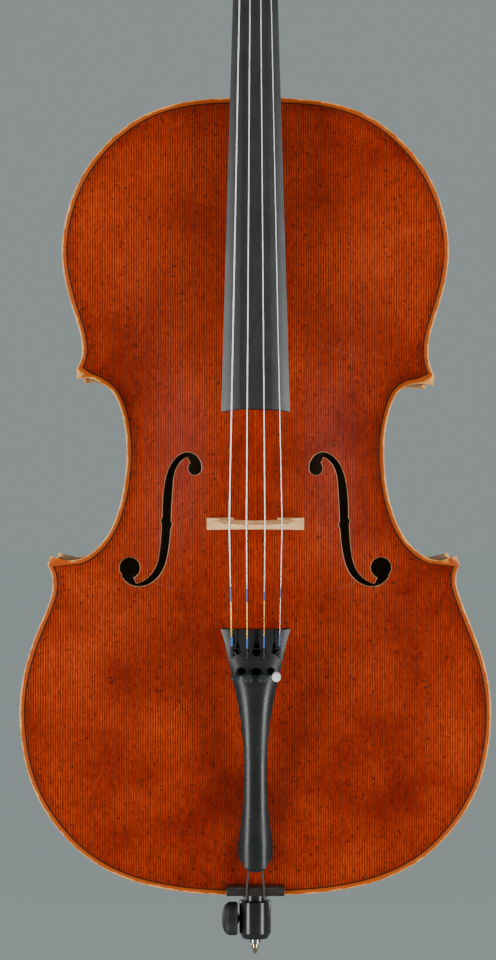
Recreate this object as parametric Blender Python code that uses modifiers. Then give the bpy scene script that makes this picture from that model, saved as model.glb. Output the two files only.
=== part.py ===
"""A full-size cello: Blender 4.5 model in metres, +Z up along the strings.

The origin lies on the endpin's axis, on the flat lower face of its collar. +X is the treble side,
the front faces -Y and Y = 0 is halfway through the ribs. Outlines are listed in millimetres.
"""
import math

import bmesh
import bpy
import numpy as np
from mathutils import Vector
from mathutils.bvhtree import BVHTree

MM = 0.001
GAP = 0.0003                    # clearance between pieces that touch

# Body
RIB_HALF = 0.0590               # the plates' gluing faces lie at this Y, either side of zero
EDGE_THICKNESS = 0.0050
CHANNEL_HEIGHT = 0.0034         # the plate's lowest line inside its edge
FRONT_ARCH = 0.0270             # crown of the front over the gluing face
BACK_ARCH = 0.0260
PLATE_THICKNESS = 0.0046
OVERHANG = 0.0040               # plate edge beyond the ribs
RIB_THICKNESS = 0.0018
LINING_WIDTH = 0.0050
LINING_HEIGHT = 0.0150
LINING_STOP = 0.0030            # distance kept from the blocks
SPINE_TOP = 0.715               # where the arching's rays from the outline end
SPINE_UPPER = 0.592
SPINE_LOWER = 0.318
SPINE_BOTTOM = 0.135

# Fingerboard and neck
NUT_Z = 1.082
NUT_LENGTH = 0.006
BOARD_END_Z = 0.503
BOARD_RADIUS = 0.062
BOARD_EDGE = 0.006
BOARD_HALF_NUT = 0.016
BOARD_HALF_END = 0.0315
BOARD_SLOPE = 0.184
BOARD_Y_AT_BRIDGE = -0.170      # the board's crown line carried down to the bridge
BRIDGE_Z = 0.400
BRIDGE_TOP_Y = -0.1795
BRIDGE_RADIUS = 0.062
NUT_RISE = 0.0012

# Strings, from bass to treble
STRINGS = ("c", "g", "d", "a")
STRING_RADIUS = {"c": 0.00085, "g": 0.0007, "d": 0.00055, "a": 0.00045}
BRIDGE_X = {"c": -0.0238, "g": -0.0083, "d": 0.0083, "a": 0.0238}
NUT_X = {"c": -0.0113, "g": -0.0038, "d": 0.0038, "a": 0.0113}
PEG_X = {"c": -0.0070, "g": -0.0030, "d": 0.0030, "a": 0.0070}
PEG_PLACE = {"c": (-0.0090, 1.1094), "a": (-0.0010, 1.1345), "g": (0.0055, 1.1596), "d": (0.0115, 1.1850)}
PEG_SIDE = {"c": -1, "g": -1, "d": 1, "a": 1}
PEG_TURN = {"c": 20, "g": -35, "d": 50, "a": -12}

# Tailpiece, in its own frame: Z runs up its face from the top edge, -Y points away from the body
TAIL_TOP = (0.0, -0.1492, 0.307)
TAIL_TILT = math.atan(0.2986)
TAIL_LENGTH = 0.244
TAIL_SECTIONS = (               # distance below the top edge, half width, thickness, crown radius
    (0, 32.3, 6.0, 62), (12, 29.6, 6.5, 60), (26, 26.3, 7.0, 56), (42, 23.4, 7.5, 50), (56, 20.6, 8.0, 42),
    (71, 17.4, 8.5, 32), (101, 12.9, 9.5, 22), (139, 10.5, 9.5, 17), (177, 11.8, 9.0, 18),
    (200, 14.0, 8.5, 22), (224, 16.4, 8.0, 30), (236, 14.6, 7.6, 32), (242, 10.0, 7.2, 32), (244, 4.0, 7.0, 32),
)
HOOK_X = {"c": -0.0217, "g": -0.0076, "d": 0.0076, "a": 0.0217}
TUNER_X = {"c": -0.0190, "g": -0.0064, "d": 0.0064, "a": 0.0190}
AXLE_DOWN = -0.026
SCREW_DOWN = -0.047
AXLE_DEPTH = 0.0130
LEVER_WIDTH = 0.0040
LEVER_TOP = 0.0113              # depth of the lever arm's upper face

# Endpin
COLLAR_RADIUS = 0.01525
COLLAR_TOP = 0.0364
COLLAR_FACE_RADIUS = 0.0120
ROD_RADIUS = 0.0053
ROD_TOP = 0.470
SCREW_Z = 0.0187

# Half outline of the plates, in mm: x, z, and how much of the corner's skew a point takes
UPPER_RUN = (
    (0, 801, 0), (60, 798.2, 0), (98, 788, 0), (132, 766, 0), (163, 728, 0), (179.5, 683, 0), (182.2, 653, 0),
    (177.9, 623, 0), (169.2, 593, 0), (163.7, 572, 0), (163.6, 556, 0.6), (166.5, 546.5, 0.9), (168.9, 542, 1),
)
WAIST_RUN = (
    (167.5, 533, 1), (158, 534.2, 0.9), (147, 532.1, 0.4), (136, 525, 0), (127.4, 509, 0), (121.3, 470, 0),
    (124, 434.5, 0), (132, 404, 0), (144.5, 382, 0), (155.5, 371.8, 0), (165, 366.8, 0), (176, 365.3, 0.4),
    (186, 366.9, 0.8), (191.3, 369.5, 1),
)
LOWER_RUN = (
    (194.2, 361, 1), (191, 353, 0.8), (190, 345, 0.5), (192.3, 332, 0), (202, 306.5, 0), (213.4, 276, 0),
    (220.3, 246, 0), (222, 216, 0), (219, 186, 0), (208.5, 149, 0), (190, 117.5, 0), (162, 88, 0),
    (122, 65.6, 0), (85, 55.7, 0), (46, 51, 0), (0, 50, 0),
)
UPPER_SKEW = 3.0                # the treble upper corner sits this much lower, the bass one higher
LOWER_SKEW = 1.7                # and the treble lower corner sits this much nearer the middle
RUN_COUNTS = (17, 19, 18)
CROWDING = 0.65                 # how strongly the outline's points gather towards the corners
ARCH_FULLNESS = 0.75            # below 1 the arching is fuller than a plain wave

# Sound hole, treble side, in mm: the stem's outline, then the two eyes (x, z, radius)
STEM = (
    (49.4, 454.1), (51.8, 460.3), (56.6, 465.5), (63.2, 467.7), (69, 466.4), (73.8, 463.2), (78.6, 457.8),
    (83.3, 447.8), (86.1, 435.4), (87.4, 421.4), (87.8, 405.8), (89.5, 403.3), (88.4, 399.2), (89, 387.7),
    (90.4, 373.6), (92.9, 362), (97.6, 353.4), (104.3, 347.2), (111.5, 343.8), (114.3, 349.5), (117, 356),
    (124, 354), (126.3, 350.5), (119.5, 343.3), (112, 340.7), (102.4, 341.8), (91.9, 348.6), (85.2, 359.1),
    (81.8, 371.8), (80, 384.9), (79.2, 394.2), (77.6, 399.5), (78.8, 402.1), (78.3, 416.7), (77.3, 432.6),
    (76.4, 443.1), (74.3, 450.7), (70, 457.8), (64.2, 462.2), (61.5, 457), (58, 453),
)
EYES = ((56.7, 452.0, 7.0), (118.1, 358.5, 10.2))

for old in list(bpy.data.objects):
    bpy.data.objects.remove(old, do_unlink=True)

cello = bpy.data.collections.new("cello")
cutters = bpy.data.collections.new("cutters")
bpy.context.scene.collection.children.link(cello)
bpy.context.scene.collection.children.link(cutters)
cutters.hide_render = True


def finish(name, colour, roughness, metallic=0.0):
    """A Principled material."""
    made = bpy.data.materials.new(name)
    made.use_nodes = True
    shader = made.node_tree.nodes["Principled BSDF"]
    shader.inputs["Base Color"].default_value = (*colour, 1)
    shader.inputs["Roughness"].default_value = roughness
    shader.inputs["Metallic"].default_value = metallic
    return made


SPRUCE = finish("varnished_spruce", (0.45, 0.10, 0.02), 0.35)
MAPLE = finish("varnished_maple", (0.40, 0.10, 0.03), 0.35)
BARE = finish("bare_spruce", (0.72, 0.56, 0.36), 0.7)
PALE_MAPLE = finish("pale_maple", (0.66, 0.45, 0.30), 0.5)
EBONY = finish("ebony", (0.02, 0.018, 0.018), 0.35)
BLACK_PLASTIC = finish("black_composite", (0.02, 0.02, 0.02), 0.4)
BLACK_CORD = finish("black_cord", (0.02, 0.02, 0.02), 0.8)
WHITE_PLASTIC = finish("white_knob", (0.85, 0.85, 0.85), 0.3)
STEEL = finish("steel", (0.60, 0.60, 0.60), 0.3, 1.0)
BRASS = finish("brass", (0.70, 0.50, 0.20), 0.3, 1.0)


def place(obj, material=None, location=(0, 0, 0), rotation=(0, 0, 0), parent=None, cutter=False):
    """Links an object into its collection and sets where it stands."""
    (cutters if cutter else cello).objects.link(obj)
    obj.location = location
    obj.rotation_euler = rotation
    obj.parent = parent
    if cutter:
        obj.hide_render = True
        obj.display_type = "WIRE"
    if material:
        obj.data.materials.append(material)
    return obj


def from_bmesh(name, bm):
    """An unlinked object with the bmesh's faces, turned outwards."""
    bmesh.ops.recalc_face_normals(bm, faces=bm.faces)
    mesh = bpy.data.meshes.new(name)
    bm.to_mesh(mesh)
    bm.free()
    return bpy.data.objects.new(name, mesh)


def loft(name, rings, capped=True):
    """A closed skin through rings of equal count, with flat ends or with ends that fold onto a line."""
    bm = bmesh.new()
    rows = [[bm.verts.new(point) for point in ring] for ring in rings]
    for row, following in zip(rows, rows[1:]):
        for i in range(len(row)):
            j = (i + 1) % len(row)
            bm.faces.new((row[i], row[j], following[j], following[i]))
    if capped:
        bm.faces.new(rows[0])
        bm.faces.new(rows[-1])
    bmesh.ops.remove_doubles(bm, verts=bm.verts, dist=1e-6)
    return from_bmesh(name, bm)


def outline_curve(name, loops, half_depth):
    """A flat outline, with any further loops as holes, thickened both ways."""
    curve = bpy.data.curves.new(name, "CURVE")
    curve.dimensions = "2D"
    curve.fill_mode = "BOTH"
    curve.extrude = half_depth
    for loop in loops:
        spline = curve.splines.new("POLY")
        spline.points.add(len(loop) - 1)
        for point, (x, y) in zip(spline.points, loop):
            point.co = (x, y, 0, 1)
        spline.use_cyclic_u = True
    return bpy.data.objects.new(name, curve)


def as_mesh(obj):
    """Replaces a linked curve with a welded mesh that can be cut."""
    bpy.context.view_layer.update()
    graph = bpy.context.evaluated_depsgraph_get()
    mesh = bpy.data.meshes.new_from_object(obj.evaluated_get(graph))
    bm = bmesh.new()
    bm.from_mesh(mesh)
    bmesh.ops.remove_doubles(bm, verts=bm.verts, dist=1e-6)
    bmesh.ops.recalc_face_normals(bm, faces=bm.faces)
    bm.to_mesh(mesh)
    bm.free()
    name = obj.name
    group = obj.users_collection[0]
    made = bpy.data.objects.new(name, mesh)
    group.objects.link(made)
    made.parent = obj.parent
    made.matrix_local = obj.matrix_local.copy()
    made.hide_render = obj.hide_render
    made.display_type = obj.display_type
    bpy.data.objects.remove(obj, do_unlink=True)
    made.name = name
    return made


def slab(name, points, y_low, y_high, material=None, cutter=False):
    """An outline in the XZ plane, solid from y_low to y_high."""
    obj = outline_curve(name, [points], (y_high - y_low) / 2)
    return as_mesh(place(obj, material, (0, (y_low + y_high) / 2, 0), (math.pi / 2, 0, 0), cutter=cutter))


def turned(name, profile, steps, material, location=(0, 0, 0), rotation=(0, 0, 0), parent=None, closed=False):
    """A profile of (radius, z) turned about Z."""
    bm = bmesh.new()
    row = [bm.verts.new((radius, 0, z)) for radius, z in profile]
    for first, second in zip(row, row[1:] + row[:1] * closed):
        bm.edges.new((first, second))
    mesh = bpy.data.meshes.new(name)
    bm.to_mesh(mesh)
    bm.free()
    obj = place(bpy.data.objects.new(name, mesh), material, location, rotation, parent)
    screw = obj.modifiers.new("turn", "SCREW")
    screw.steps = screw.render_steps = steps
    screw.use_merge_vertices = True
    screw.merge_threshold = 0.00001
    screw.use_smooth_shade = True
    return obj


def cylinder(name, radius, depth, sides, location, rotation, parent=None, cutter=True, radius_end=None):
    """A cylinder or cone about its own Z; a cutter unless told otherwise."""
    bm = bmesh.new()
    bmesh.ops.create_cone(
        bm, cap_ends=True, segments=sides, radius1=radius, radius2=radius_end or radius, depth=depth
    )
    return place(from_bmesh(name, bm), None, location, rotation, parent, cutter)


def box(name, low, high, parent=None):
    """A cutter box between two corners."""
    bm = bmesh.new()
    bmesh.ops.create_cube(bm, size=1)
    for vertex in bm.verts:
        vertex.co = [low[i] + (high[i] - low[i]) * (vertex.co[i] + 0.5) for i in range(3)]
    return place(from_bmesh(name, bm), parent=parent, cutter=True)


def combine(obj, other, operation="DIFFERENCE"):
    """Cuts obj with other, or joins other to it."""
    modifier = obj.modifiers.new(other.name, "BOOLEAN")
    modifier.operation = operation
    modifier.object = other


def wire(name, points, radius, material, resolution=2, parent=None):
    """A round wire through straight spans."""
    curve = bpy.data.curves.new(name, "CURVE")
    curve.dimensions = "3D"
    curve.bevel_depth = radius
    curve.bevel_resolution = resolution
    curve.use_fill_caps = True
    spline = curve.splines.new("POLY")
    spline.points.add(len(points) - 1)
    for point, place_at in zip(spline.points, points):
        point.co = (*place_at, 1)
    return place(bpy.data.objects.new(name, curve), material, parent=parent)


# ---- outline --------------------------------------------------------------------------------

def spline(points, places, start=None, end=None):
    """Points at these shares of a cubic spline's length, with a set direction at either end if given."""
    points = np.array(points, float)
    knots = np.concatenate([[0], np.cumsum(np.linalg.norm(np.diff(points, axis=0), axis=1))])
    spans = np.diff(knots)
    size = len(points)
    matrix = np.zeros((size, size))
    right = np.zeros((size, points.shape[1]))
    matrix[0, :2] = (1, 0) if start is not None else (2, 1)
    right[0] = start if start is not None else 3 * (points[1] - points[0]) / spans[0]
    matrix[-1, -2:] = (0, 1) if end is not None else (1, 2)
    right[-1] = end if end is not None else 3 * (points[-1] - points[-2]) / spans[-1]
    for i in range(1, size - 1):
        before, after = spans[i - 1], spans[i]
        matrix[i, i - 1:i + 2] = (after, 2 * (before + after), before)
        right[i] = 3 * (
            after * (points[i] - points[i - 1]) / before + before * (points[i + 1] - points[i]) / after
        )
    slopes = np.linalg.solve(matrix, right)

    def at(places):
        i = np.clip(np.searchsorted(knots, places, side="right") - 1, 0, size - 2)
        span = spans[i][:, None]
        t = ((places - knots[i]) / spans[i])[:, None]
        return (
            (2 * t**3 - 3 * t**2 + 1) * points[i] + (t**3 - 2 * t**2 + t) * span * slopes[i]
            + (3 * t**2 - 2 * t**3) * points[i + 1] + (t**3 - t**2) * span * slopes[i + 1]
        )

    fine = at(np.linspace(0, knots[-1], 40 * size))
    lengths = lengths_along(fine)
    wanted = places * lengths[-1]
    return np.stack([np.interp(wanted, lengths, fine[:, i]) for i in range(points.shape[1])], axis=1)


def lengths_along(run):
    """The length of a polyline up to each of its points."""
    return np.concatenate([[0], np.cumsum(np.linalg.norm(np.diff(run, axis=0), axis=1))])


def shares(count, start_dense, end_dense):
    """Places from 0 to 1 that gather at the dense ends."""
    u = np.linspace(0, 1, count)
    if start_dense and end_dense:
        eased = (1 - np.cos(np.pi * u)) / 2
    elif end_dense:
        eased = np.sin(np.pi * u / 2)
    else:
        eased = 1 - np.cos(np.pi * u / 2)
    return CROWDING * eased + (1 - CROWDING) * u


RUN_ENDS = ((False, True), (True, True), (True, False))


def half_runs(side, counts):
    """The three runs of one side of the outline, top to bottom, as (x, z) in metres. side is 1 or -1."""
    made = []
    runs = zip((UPPER_RUN, WAIST_RUN, LOWER_RUN), counts, RUN_ENDS, (1, 0, -1))
    for run, count, dense, skew in runs:
        anchors = []
        for x, z, share in run:
            upper = z > 450
            anchors.append((
                x - (0 if upper else LOWER_SKEW * share * side),
                z - (UPPER_SKEW * share * side if upper else 0),
            ))
        start = (1, 0) if skew == 1 else None
        end = (-1, 0) if skew == -1 else None
        points = spline(anchors, shares(count, *dense), start, end) * MM
        made.append(points * (side, 1))
    return made


treble = half_runs(1, RUN_COUNTS)
bass = half_runs(-1, RUN_COUNTS)
spine_spans = ((SPINE_TOP, SPINE_UPPER), (SPINE_UPPER, SPINE_LOWER), (SPINE_LOWER, SPINE_BOTTOM))
spine_half = np.concatenate([
    top + (low - top) * shares(count, *dense)
    for (top, low), count, dense in zip(spine_spans, RUN_COUNTS, RUN_ENDS)
])
outline = np.concatenate([*treble, np.concatenate(bass)[::-1][1:-1]])
spine = np.concatenate([spine_half, spine_half[::-1][1:-1]])
spine_points = np.stack([np.zeros(len(spine)), spine], axis=1)


def distance_to_outline(points):
    """Shortest distance from each point to the outline."""
    start = outline
    along = np.roll(outline, -1, axis=0) - start
    rel = points[:, None, :] - start[None]
    t = np.clip((rel * along).sum(-1) / (along**2).sum(-1), 0, 1)
    return np.linalg.norm(rel - t[..., None] * along, axis=-1).min(axis=1)


ray_shares = np.concatenate([np.linspace(0, 0.2, 60), np.linspace(0.21, 0.6, 20)])
ray_points = outline[:, None] + ray_shares[None, :, None] * (spine_points - outline)[:, None]
ray_depths = distance_to_outline(ray_points.reshape(-1, 2)).reshape(len(outline), -1)
ray_depths = np.maximum.accumulate(ray_depths, axis=1)


def share_at(depth):
    """How far along each ray the outline is depth away."""
    return np.array([np.interp(depth, row, ray_shares) for row in ray_depths])


def plate(name, side, arch, material):
    """An arched plate on the side Y = side * RIB_HALF, thin at its channel and full at its crown."""
    channel, lining_line = share_at(0.009), share_at(0.013)
    crown = arch - 0.004 * ((spine - 0.43) / 0.29) ** 2

    def ring(share, height):
        flat = outline + share[:, None] * (spine_points - outline)
        out = side * (RIB_HALF + np.broadcast_to(height, len(outline)))
        return [(x, y, z) for (x, z), y in zip(flat, out)]

    rings = []
    for rise in (1.0, 0.92, 0.78, 0.60, 0.40, 0.18):
        lift = ((1 - math.cos(math.pi * rise)) / 2) ** ARCH_FULLNESS
        rings.append(ring(channel + (1 - channel) * rise, CHANNEL_HEIGHT + (crown - CHANNEL_HEIGHT) * lift))
    rings.append(ring(channel, CHANNEL_HEIGHT))
    rings.append(ring(share_at(0.0018), EDGE_THICKNESS))
    rings.append(ring(share_at(0.0), 0.7 * EDGE_THICKNESS))
    rings.append(ring(share_at(0.0), 0.0))
    rings.append(ring(lining_line, 0.0))
    for rise in (0.33, 0.66, 1.0):
        lift = ((1 - math.cos(math.pi * rise)) / 2) ** ARCH_FULLNESS
        rings.append(ring(lining_line + (1 - lining_line) * rise, (crown - PLATE_THICKNESS) * lift))
    return place(loft(name, rings, capped=False), material)


front_plate = plate("front_plate", -1, FRONT_ARCH, SPRUCE)
back_plate = plate("back_plate", 1, BACK_ARCH, MAPLE)
front_tree = BVHTree.FromPolygons(
    [v.co for v in front_plate.data.vertices], [p.vertices for p in front_plate.data.polygons]
)
back_tree = BVHTree.FromPolygons(
    [v.co for v in back_plate.data.vertices], [p.vertices for p in back_plate.data.polygons]
)


def inner_y(tree, x, z, side):
    """The Y of a plate's inner face, seen from inside the body."""
    return tree.ray_cast(Vector((x, 0, z)), Vector((0, side, 0)))[0].y


# ---- ribs, blocks and linings ---------------------------------------------------------------

def inset(run, distance):
    """A run moved towards the inside of the body."""
    tangent = np.gradient(run, axis=0)
    tangent /= np.linalg.norm(tangent, axis=1)[:, None]
    inward = np.stack([tangent[:, 1], -tangent[:, 0]], axis=1)
    if run[len(run) // 2, 0] < 0:
        inward = -inward
    return run + distance * inward


def crossing(first, second):
    """Where two polylines cross: the index in each and the point."""
    for i in range(len(first) - 1, 0, -1):
        a, b = first[i - 1], first[i]
        for j in range(len(second) - 1):
            c, d = second[j], second[j + 1]
            matrix = np.array([b - a, c - d]).T
            if abs(np.linalg.det(matrix)) < 1e-14:
                continue
            s, t = np.linalg.solve(matrix, c - a)
            if 0 <= s <= 1 and 0 <= t <= 1:
                return i, j, a + s * (b - a)
    raise ValueError("these runs do not cross")


def longer(run):
    """The run carried straight on past its last point, so that inset runs still cross."""
    step = run[-1] - run[-2]
    return np.vstack([run, run[-1] + step * CORNER_REACH / np.linalg.norm(step)])


def joined(upper, waist, lower):
    """The three runs, carried on and then ended where they cross at the corners."""
    upper, lower = longer(upper), longer(lower[::-1])[::-1]
    waist = longer(longer(waist)[::-1])[::-1]
    i, j, meet = crossing(upper, waist)
    upper, waist = np.vstack([upper[:i], meet]), np.vstack([meet, waist[j + 1:]])
    i, j, meet = crossing(waist, lower)
    waist, lower = np.vstack([waist[:i], meet]), np.vstack([meet, lower[j + 1:]])
    return upper, waist, lower


def inset_runs(side, distance):
    """The outline's runs moved inwards."""
    return joined(*(inset(run, distance) for run in half_runs(side, RIB_COUNTS)))


def trimmed(run, start, end, count):
    """A run with a length taken off each end, evenly spaced."""
    lengths = lengths_along(run)
    wanted = np.linspace(start, lengths[-1] - end, count)
    return np.stack([np.interp(wanted, lengths, run[:, i]) for i in range(2)], axis=1)


def clipped(run, start, end):
    """The stretch of a run between two lengths from its start, with its own points kept."""
    lengths = lengths_along(run)
    kept = lengths[(lengths > start + 0.001) & (lengths < end - 0.001)]
    wanted = np.concatenate([[start], kept, [end]])
    return np.stack([np.interp(wanted, lengths, run[:, i]) for i in range(2)], axis=1)


def side_name(side):
    return "treble" if side > 0 else "bass"


RIB_COUNTS = (240, 200, 240)    # fine runs that the ribs are cut from
rib_inner = OVERHANG + RIB_THICKNESS
rib_top = RIB_HALF - GAP
MITRE = 0.0004
CORNER_REACH = 0.010
TOP_BLOCK_HALF, TOP_BLOCK_DEPTH = 0.060, 0.028
BOTTOM_BLOCK_HALF, BOTTOM_BLOCK_DEPTH = 0.050, 0.030
CORNER_UPPER, CORNER_WAIST = 0.030, 0.026

mortise = loft("mortise_cutter", [
    [(-0.0245, -0.095, z), (0.0245, -0.095, z), (0.0166, 0.0589, z), (-0.0166, 0.0589, z)]
    for z in (0.7857, 0.83)
])
place(mortise, cutter=True)
endpin_bore = cylinder("endpin_bore_cutter", 0.0133, 0.07, 32, (0, 0, 0.075), (0, 0, 0))

inside_ribs = {}
for side in (1, -1):
    outer = inset_runs(side, OVERHANG)
    inner = inset_runs(side, rib_inner)
    ends = ((0.010, MITRE), (MITRE, MITRE), (MITRE, 0.00015))
    bases = []
    for where, out_run, in_run, (start, end), count in zip(
        ("upper", "c", "lower"), outer, inner, ends, (26, 22, 28)
    ):
        inner_edge = trimmed(in_run, start, end, count)
        bases.append(inset(inner_edge, GAP))
        points = [*trimmed(out_run, start, end, count), *inner_edge[::-1]]
        rib = slab(f"rib_{where}_{side_name(side)}", points, -rib_top, rib_top, MAPLE)
        if where == "upper":
            combine(rib, mortise)
        if where == "lower":
            combine(rib, endpin_bore)

    # Linings stop short of the blocks
    inside_ribs[side] = upper, waist, lower = joined(*bases)
    reach = [lengths_along(run)[-1] for run in (upper, waist, lower)]
    spans = (
        (TOP_BLOCK_HALF, reach[0] - CORNER_UPPER), (CORNER_WAIST, reach[1] - CORNER_WAIST),
        (CORNER_UPPER, reach[2] - BOTTOM_BLOCK_HALF),
    )
    for where, run, (start, end) in zip(("upper", "c", "lower"), (upper, waist, lower), spans):
        edge = clipped(run, start + LINING_STOP, end - LINING_STOP)
        points = [*edge, *inset(edge, LINING_WIDTH)[::-1]]
        for face, y_side in (("front", -1), ("back", 1)):
            low, high = sorted((y_side * rib_top, y_side * (rib_top - LINING_HEIGHT)))
            slab(f"lining_{face}_{where}_{side_name(side)}", points, low, high, BARE)

    for where, first, second in (("upper", upper[::-1], waist), ("lower", lower, waist[::-1])):
        flank, slope = clipped(first, 0, CORNER_UPPER), clipped(second, 0, CORNER_WAIST)
        slab(f"corner_block_{where}_{side_name(side)}", [*flank[::-1], *slope[1:]], -rib_top, rib_top, BARE)


def end_block(name, run_index, half, depth, sign):
    """A block that follows the inside of the ribs over a width of 2 * half."""
    edges = []
    for side in (1, -1):
        run = inside_ribs[side][run_index]
        edges.append(clipped(run if run_index == 0 else run[::-1], 0, half))
    right, left = edges
    flat = right[0][1] - sign * depth
    points = [*left[::-1], *right, (right[-1][0], flat), (left[-1][0], flat)]
    return slab(name, points, -rib_top, rib_top, BARE)


top_block = end_block("top_block", 0, TOP_BLOCK_HALF, TOP_BLOCK_DEPTH, 1)
combine(top_block, mortise)
bottom_block = end_block("bottom_block", 2, BOTTOM_BLOCK_HALF, BOTTOM_BLOCK_DEPTH, -1)
combine(bottom_block, endpin_bore)

# ---- button, sound holes, notches -----------------------------------------------------------

BUTTON_HALF, BUTTON_TOP = 0.020, 0.824
button_points = [(BUTTON_HALF, 0.785)] + [
    (BUTTON_HALF * math.cos(a), BUTTON_TOP - BUTTON_HALF + BUTTON_HALF * math.sin(a))
    for a in np.linspace(0, math.pi, 11)
] + [(-BUTTON_HALF, 0.785)]
button = slab("button_cutter", button_points, RIB_HALF, RIB_HALF + 0.0045, cutter=True)
combine(back_plate, button, "UNION")

for side in (1, -1):
    points = [(side * x * MM, z * MM) for x, z in STEM]
    combine(front_plate, slab(f"stem_cutter_{side_name(side)}", points, -0.1, -0.05, cutter=True))
    for index, (x, z, radius) in enumerate(EYES):
        eye = cylinder(
            f"eye_cutter_{index}_{side_name(side)}", radius * MM, 0.05, 20,
            (side * x * MM, -0.075, z * MM), (math.pi / 2, 0, 0),
        )
        combine(front_plate, eye)

combine(front_plate, mortise)
SADDLE_HALF, SADDLE_LOW, SADDLE_HIGH, SADDLE_Y = 0.0272, 0.0505, 0.0600, -0.0745
saddle_seat = box(
    "saddle_seat_cutter", (-SADDLE_HALF - GAP, -0.08, 0.04), (SADDLE_HALF + GAP, -0.0589, SADDLE_HIGH + GAP)
)
combine(front_plate, saddle_seat)

saddle_points = [(-RIB_HALF - GAP, SADDLE_LOW), (-0.0715, SADDLE_LOW)]
saddle_points += [(SADDLE_Y, 0.0535), (SADDLE_Y, 0.0560), (-0.0700, SADDLE_HIGH), (-RIB_HALF - GAP, SADDLE_HIGH)]
saddle = outline_curve("saddle", [saddle_points], SADDLE_HALF)
place(saddle, EBONY, rotation=(math.pi / 2, 0, math.pi / 2))

# ---- bass bar and sound post ----------------------------------------------------------------

BAR_X, BAR_HALF, BAR_LOW, BAR_HIGH = -0.030, 0.0055, 0.160, 0.690
bar_rings = []
for z in np.linspace(BAR_LOW, BAR_HIGH, 15):
    top = max(inner_y(front_tree, BAR_X + dx, z, -1) for dx in (-BAR_HALF, 0, BAR_HALF)) + 0.0005
    height = 0.004 + 0.020 * math.sin(math.pi * (z - BAR_LOW) / (BAR_HIGH - BAR_LOW))
    bar_rings.append([
        (BAR_X - BAR_HALF, top, z), (BAR_X + BAR_HALF, top, z),
        (BAR_X + BAR_HALF, top + height, z), (BAR_X - BAR_HALF, top + height, z),
    ])
place(loft("bass_bar", bar_rings), BARE)

POST_X, POST_Z, POST_RADIUS = 0.031, 0.391, 0.0055
reach = [(POST_X + POST_RADIUS * math.cos(a), POST_Z + POST_RADIUS * math.sin(a)) for a in np.linspace(0, 6.28, 9)]
post_front = max(inner_y(front_tree, x, z, -1) for x, z in reach) + GAP
post_back = min(inner_y(back_tree, x, z, 1) for x, z in reach) - GAP
post = cylinder(
    "sound_post", POST_RADIUS, post_back - post_front, 16,
    (POST_X, (post_front + post_back) / 2, POST_Z), (math.pi / 2, 0, 0), cutter=False,
)
post.data.materials.append(BARE)

# ---- neck and head --------------------------------------------------------------------------

def board_half(z):
    return BOARD_HALF_NUT + (BOARD_HALF_END - BOARD_HALF_NUT) * (NUT_Z - z) / (NUT_Z - BOARD_END_Z)


def board_crown(z):
    return BOARD_Y_AT_BRIDGE + BOARD_SLOPE * (z - BRIDGE_Z)


def sagitta(x, radius):
    return radius - math.sqrt(radius * radius - x * x)


def glue_y(z):
    return board_crown(z) + sagitta(board_half(z), BOARD_RADIUS) + BOARD_EDGE


def neck_ring(z, front, back, half_front, half_back, roundness):
    """One cross-section: flat at the front, square or rounded towards the back."""
    right = []
    for k in range(7):
        t = k / 6
        square = half_front + (half_back - half_front) * t
        curved = max(half_front * math.sqrt(1 - t * t), 0.0015)
        right.append((square + (curved - square) * roundness, front + (back - front) * t))
    return [(x, y, z) for x, y in right] + [(-x, y, z) for x, y in right[::-1]]


HEEL_BACK = RIB_HALF - GAP
NECK_STATIONS = (               # z, back, half width at the back, roundness
    (0.7860, HEEL_BACK, 0.0163, 0.0), (0.8220, HEEL_BACK - 0.001, 0.0163, 0.0), (0.8260, 0.0380, 0.0160, 0.05),
    (0.8315, 0.0120, 0.0155, 0.25), (0.8400, -0.0150, 0.0150, 0.55), (0.8530, -0.0350, 0.0150, 0.8),
    (0.8700, -0.0460, 0.0150, 0.95), (0.8950, -0.0490, 0.0150, 1.0), (1.0400, -0.0230, 0.0140, 1.0),
    (1.0620, -0.0150, 0.0140, 0.9), (1.0760, 0.0000, 0.0150, 0.6),
)
neck_rings = [
    neck_ring(z, glue_y(z), back, board_half(z), half, roundness) for z, back, half, roundness in NECK_STATIONS
]
PEGBOX_STATIONS = (             # z, front, back, half width, roundness
    (1.0885, -0.0358, 0.0085, 0.0205, 0.25), (1.0905, -0.0330, 0.0100, 0.0215, 0.2),
    (1.1000, -0.0310, 0.0130, 0.0232, 0.05), (1.1330, -0.0170, 0.0200, 0.0222, 0.0),
    (1.1650, -0.0070, 0.0255, 0.0206, 0.0), (1.2000, 0.0030, 0.0330, 0.0188, 0.0),
    (1.2200, 0.0030, 0.0390, 0.0175, 0.0),
)
neck_rings += [
    neck_ring(z, front, back, half, half * 0.94, roundness) for z, front, back, half, roundness in PEGBOX_STATIONS
]
neck = place(loft("neck", neck_rings), MAPLE)

SCROLL_Y, SCROLL_Z = 0.0095, 1.2400
for index, (radius, half, sides) in enumerate(((0.0345, 0.0165, 28), (0.0235, 0.0245, 20), (0.0095, 0.0315, 14))):
    turn = cylinder(
        f"scroll_turn_{index}", radius, 2 * half, sides,
        (0, SCROLL_Y + 0.002 * index, SCROLL_Z - 0.0015 * index), (0, math.pi / 2, 0),
    )
    combine(neck, turn, "UNION")

cavity = loft("pegbox_cutter", [
    [(-half, -0.07, z), (half, -0.07, z), (half, depth, z), (-half, depth, z)]
    for z, half, depth in ((1.0915, 0.0135, -0.001), (1.1330, 0.0125, 0.0105), (1.1970, 0.0095, 0.0225))
])
combine(neck, place(cavity, cutter=True))


def pegbox_half(z):
    return float(np.interp(z, [row[0] for row in PEGBOX_STATIONS], [row[3] for row in PEGBOX_STATIONS]))


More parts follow.
